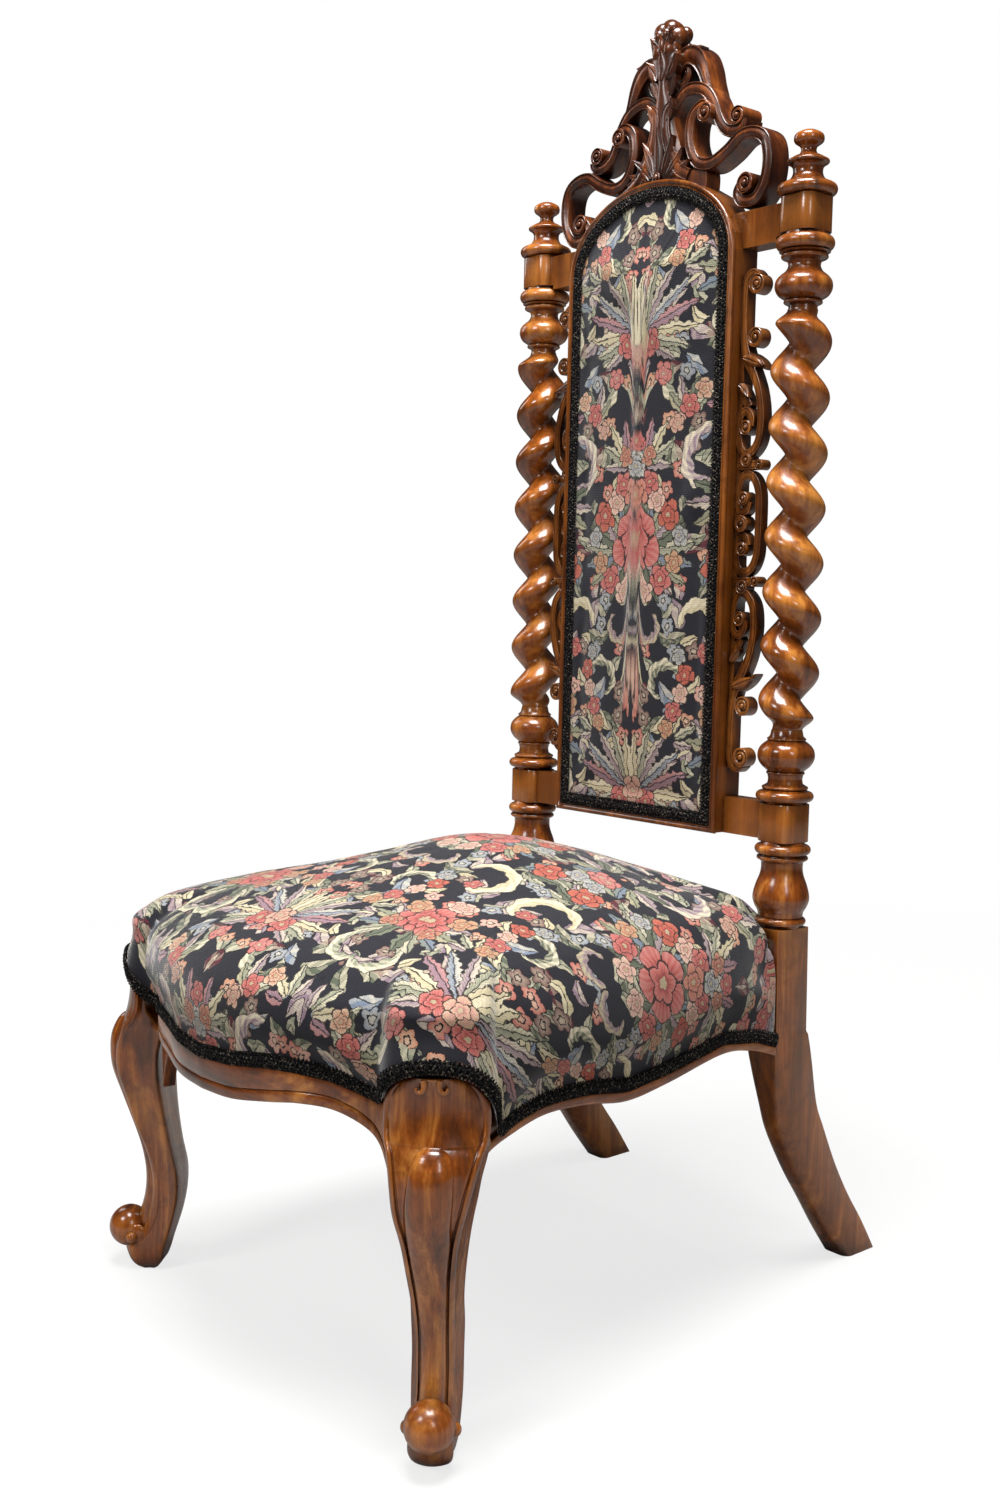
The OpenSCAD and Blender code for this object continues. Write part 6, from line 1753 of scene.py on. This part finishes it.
class CHAIR_OT_back_gimp(bpy.types.Operator):
    """Black gimp braid round the back panel"""
    bl_idname = "chair.back_gimp"
    bl_label = "Back gimp"

    def execute(self, context):
        line = panel_line(EDGE_MOULD + 0.8)
        line = np.concatenate([line, line[:1]])
        y = -PANEL_FRONT + 0.2 * PANEL_REBATE - 0.3
        path = np.column_stack([line[:, 0], np.full(len(line), y), line[:, 1]])
        way = unit_rows(np.gradient(path, axis=0))
        out = np.tile([0.0, -1.0, 0.0], (len(path), 1))
        up = np.cross(out, way)
        middle = np.array([0, y, (PANEL_BOTTOM + ARCH_SPRING) / 2])
        up *= np.sign(np.sum(up * (middle - path), axis=1))[:, None]
        shell = Shell()
        braid(shell, path, out, up)
        make_piece("gimp_back", shell.moved(lean), "gimp_braid",
                   ["back_gimp"], 60)
        return {"FINISHED"}


# ---------------------------------------------------------------- inner and under cloths
def box_of(node):
    low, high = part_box(node)
    return np.array(low) / MM, np.array(high) / MM


def interlaced(shell, centre, length, width, axis, level, crossings, thick, lift):
    """Strip of webbing that weaves over and under the strips that cross it."""
    rows = []
    for s in np.linspace(-0.5, 0.5, 61):
        wave = sum(sign * math.exp(-((s * length - place) / 16.0) ** 2) for place, sign in crossings)
        z = level + lift * wave
        corners = []
        for t, dz in ((-0.5, 0), (0.5, 0), (0.5, thick), (-0.5, thick)):
            p = [centre[0], centre[1], z + dz]
            p[axis] += s * length
            p[1 - axis] += t * width
            corners.append(p)
        rows.append(corners)
    shell.loft(rows)


class CHAIR_OT_under_cloths(bpy.types.Operator):
    """Webbing, black cloth under the seat and behind the back"""
    bl_idname = "chair.under_cloths"
    bl_label = "Webbing and cloths"

    def execute(self, context):
        low, high = box_of("seat_webbing")
        web = Shell()
        y0 = (low[1] + high[1]) / 2
        pitch = 1.35 * 50.0
        middle = SEAT_MIDDLE[1] + PLAN_SHIFT
        for i in (-1, 0, 1):
            marks = [(middle + j * pitch - y0, 1 if (i + j) % 2 else -1) for j in range(-2, 3)]
            interlaced(web, (i * pitch, y0), high[1] - low[1] - 30, 48, 1, low[2] + 1.2, marks, 1.2, 0.9)
        for j in range(-2, 3):
            marks = [(i * pitch, -1 if (i + j) % 2 else 1) for i in (-1, 0, 1)]
            interlaced(web, (0, middle + j * pitch), 0.84 * (high[0] - low[0]), 48, 0, low[2] + 1.2,
                       marks, 1.2, 0.9)
        make_piece("webbing_seat", web, "jute", ["seat_webbing"], 30)

        low, _ = box_of("seat_bottom_cloth")
        under = Shell()
        # Tacked behind the front rail's face, in front of the back posts and inside the legs
        tacks, leg_x, leg_y, rear_x, rear_y = 12.4, 174, -371, 152.6, -23.4
        front = [(x, y + tacks) for x, y in bow_line(4) if x < leg_x]
        right = front + [(leg_x, -FRONT_FACE_Y + tacks), (leg_x, leg_y), (205, leg_y), (178, rear_y),
                         (rear_x, rear_y), (rear_x, -0.4)]
        outline = right + [(-x, y) for x, y in right[::-1] if x > 0]
        rings = []
        z = low[2]
        middle = np.array([0, -0.5 * LEG_Y])
        for share, sag in ((1, 0), (0.97, 0.1), (0.8, -0.6), (0.5, -1.6), (0.2, -2.2), (0.02, -2.3)):
            rings.append([(middle[0] + (x - middle[0]) * share, middle[1] + (y - middle[1]) * share, z + sag)
                          for x, y in outline])
        under.loft(rings, caps=False)
        under.lid(len(outline))
        under = under.moved(in_plan)
        piece = make_piece("bottom_cloth", under, "black_cloth",
                           ["seat_bottom_cloth"], 60)

        web = Shell()
        strips = 6
        for i in range(strips):
            z = PANEL_BOTTOM + 11 + i * (ARCH_SPRING - PANEL_BOTTOM) / strips + 25
            rows = []
            for s in np.linspace(-1, 1, 31):
                x = s * 99
                rows.append([(x, -17.6 + 0.3 * math.cos(3 * s), z - 24), (x, -17.2, z - 24),
                             (x, -17.2, z + 24), (x, -17.6 + 0.3 * math.cos(3 * s), z + 24)])
            web.loft(rows)
        make_piece("webbing_back", web.moved(lean), "jute", ["back_webbing"], 30)

        behind = Shell()
        inset = 0.3 * 36
        w, rise = PANEL_HALF_W - inset, ARCH_RISE - inset
        bottom = PANEL_BOTTOM + 0.3 * 32.8
        line = arch_line(w, rise, bottom, 30, 40)
        rings = []
        for share, y in ((1, 10.2), (0.995, 11.2), (0.96, 11.5), (0.8, 11.6), (0.4, 11.7), (0.02, 11.7)):
            rings.append([(x * share, y, 690 + (z - 690) * share) for x, z in line])
        behind.loft(rings, caps=False)
        behind.lid(len(line))
        piece = make_piece("outside_back", behind.moved(lean), "black_cloth",
                           ["outside_back_cloth"], 60)
        return {"FINISHED"}


# ---------------------------------------------------------------- stage
def area_light(name, place, target, size, power):
    light = bpy.data.lights.new(name, "AREA")
    light.shape = "RECTANGLE"
    light.size, light.size_y = size
    light.energy = power
    lamp = bpy.data.objects.new(name, light)
    lamp.location = place
    lamp.rotation_euler = (Vector(target) - Vector(place)).to_track_quat("-Z", "Y").to_euler()
    bpy.context.scene.collection.objects.link(lamp)


class CHAIR_OT_stage(bpy.types.Operator):
    """Pale floor, soft lights and the camera"""
    bl_idname = "chair.stage"
    bl_label = "Stage"

    def execute(self, context):
        scene = context.scene
        scene.view_settings.view_transform = "Standard"
        camera = bpy.data.cameras.new("camera")
        camera.lens, camera.sensor_width = 38.74, 36.0
        viewer = bpy.data.objects.new("camera", camera)
        viewer.location = (1.1111, -0.9047, 0.6323)
        viewer.rotation_euler = (math.radians(84.06), 0, math.radians(50.88))
        scene.collection.objects.link(viewer)
        scene.camera = viewer

        world = bpy.data.worlds.new("studio")
        world.use_nodes = True
        f = Finish("studio", world.node_tree)
        f.tree.nodes.clear()
        ray = f.node("ShaderNodeLightPath")
        seen = f.most(ray.outputs["Is Camera Ray"], ray.outputs["Is Transmission Ray"])
        strength = f.plus(0.14, f.times(seen, 0.86))
        strength = f.minus(strength, f.times(ray.outputs["Is Glossy Ray"], 0.08))
        back = f.node("ShaderNodeBackground")
        back.inputs["Color"].default_value = (1, 1, 1, 1)
        f.put(back.inputs["Strength"], strength)
        f.put(f.node("ShaderNodeOutputWorld").inputs["Surface"], back.outputs[0])
        scene.world = world

        floor = bpy.data.meshes.new("floor")
        reach = 4.0
        stops = [(reach * math.cos(a), reach * math.sin(a), 0.0) for a in round_stops(64)]
        floor.from_pydata(stops, [], [tuple(range(64))])
        ground = bpy.data.objects.new("floor", floor)
        scene.collection.objects.link(ground)
        f = Finish("pale floor")
        path = f.node("ShaderNodeLightPath").outputs
        ray = path["Is Camera Ray"]
        seen = f.most(ray, path["Is Transmission Ray"])
        seen = f.most(seen, f.times(path["Is Glossy Ray"], 0.2))
        away = f.vector("LENGTH", f.place())
        fade = f.ramp(f.over(away, reach), [(0.12, (0.75, 0.75, 0.75, 1)), (0.5, (1, 1, 1, 1))])
        speck = f.noise(f.place(), 30.0, 3.0)
        pale = f.ramp(speck, [(0.0, colour("#efeeec")), (1.0, colour("#f6f5f3"))])
        matt = f.node("ShaderNodeBsdfDiffuse")
        f.put(matt.inputs["Color"], f.mix(seen, (0.3, 0.28, 0.26, 1), pale))
        glow = f.node("ShaderNodeEmission")
        glow.inputs["Color"].default_value = (1, 1, 1, 1)
        both = f.node("ShaderNodeMixShader")
        f.put(both.inputs[0], f.times(ray, fade))
        f.put(both.inputs[1], matt.outputs[0])
        f.put(both.inputs[2], glow.outputs[0])
        f.put(f.node("ShaderNodeOutputMaterial").inputs["Surface"], both.outputs[0])
        floor.materials.append(f.material)

        middle = (0.0, 0.0, 0.5)
        area_light("key light", (-0.1, -2.3, 2.2), middle, (0.7, 0.7), 27)
        area_light("side light", (2.6, -0.9, 1.8), middle, (0.4, 1.0), 13)
        area_light("left light", (-2.3, -0.5, 1.9), middle, (0.6, 1.2), 9)
        area_light("top light", (0.35, -0.25, 2.7), middle, (1.1, 1.1), 104)
        return {"FINISHED"}


# ---------------------------------------------------------------- add-on
class ChairSizes(bpy.types.PropertyGroup):
    """Sizes that a maker would change"""
    twist_pitch: bpy.props.FloatProperty(
        name="Twist pitch", description="Rise of one full turn of the twist, in millimetres",
        default=47.5, min=38.0, max=60.0)
    twist_groove: bpy.props.FloatProperty(
        name="Twist groove", description="Radius at the bottom of the twist's groove, in millimetres",
        default=10.4, min=8.0, max=14.0)
    back_pattern_rise: bpy.props.FloatProperty(
        name="Back pattern rise",
        description="Height that the woven design is moved by on the back, in millimetres",
        default=10.0, min=-500.0, max=500.0)


class ChairColours(bpy.types.PropertyGroup):
    """Colours of the chair in the viewport"""
    wood_view: bpy.props.FloatVectorProperty(
        name="Wood", description="Colour of the wood in the solid viewport", subtype="COLOR",
        default=(0.26, 0.08, 0.02), min=0.0, max=1.0)


class CHAIR_PT_panel(bpy.types.Panel):
    """Sidebar panel that lists the chair's pieces"""
    bl_idname = "CHAIR_PT_panel"
    bl_label = "Barley Twist Chair"
    bl_space_type = "VIEW_3D"
    bl_region_type = "UI"
    bl_category = "Chair"

    def draw(self, context):
        column = self.layout.column()
        for name in ("twist_pitch", "twist_groove", "back_pattern_rise"):
            column.prop(context.scene.chair_sizes, name)
        column.prop(context.scene.chair_colours, "wood_view")
        for operator in OPERATORS:
            column.operator(operator.bl_idname)


OPERATORS = (
    CHAIR_OT_stage, CHAIR_OT_posts, CHAIR_OT_finials, CHAIR_OT_legs, CHAIR_OT_seat_rails,
    CHAIR_OT_joinery, CHAIR_OT_frets, CHAIR_OT_crest, CHAIR_OT_seat, CHAIR_OT_seat_gimp,
    CHAIR_OT_panel_mould, CHAIR_OT_back_pad, CHAIR_OT_back_gimp, CHAIR_OT_under_cloths,
)
CLASSES = (ChairSizes, ChairColours, *OPERATORS, CHAIR_PT_panel)


def register():
    for item in CLASSES:
        bpy.utils.register_class(item)
    bpy.types.Scene.chair_sizes = bpy.props.PointerProperty(type=ChairSizes)
    bpy.types.Scene.chair_colours = bpy.props.PointerProperty(type=ChairColours)


def unregister():
    del bpy.types.Scene.chair_colours
    del bpy.types.Scene.chair_sizes
    for item in reversed(CLASSES):
        bpy.utils.unregister_class(item)


def main():
    register()
    for operator in OPERATORS:
        group, name = operator.bl_idname.split(".")
        getattr(getattr(bpy.ops, group), name)()


if __name__ == "__main__":
    main()
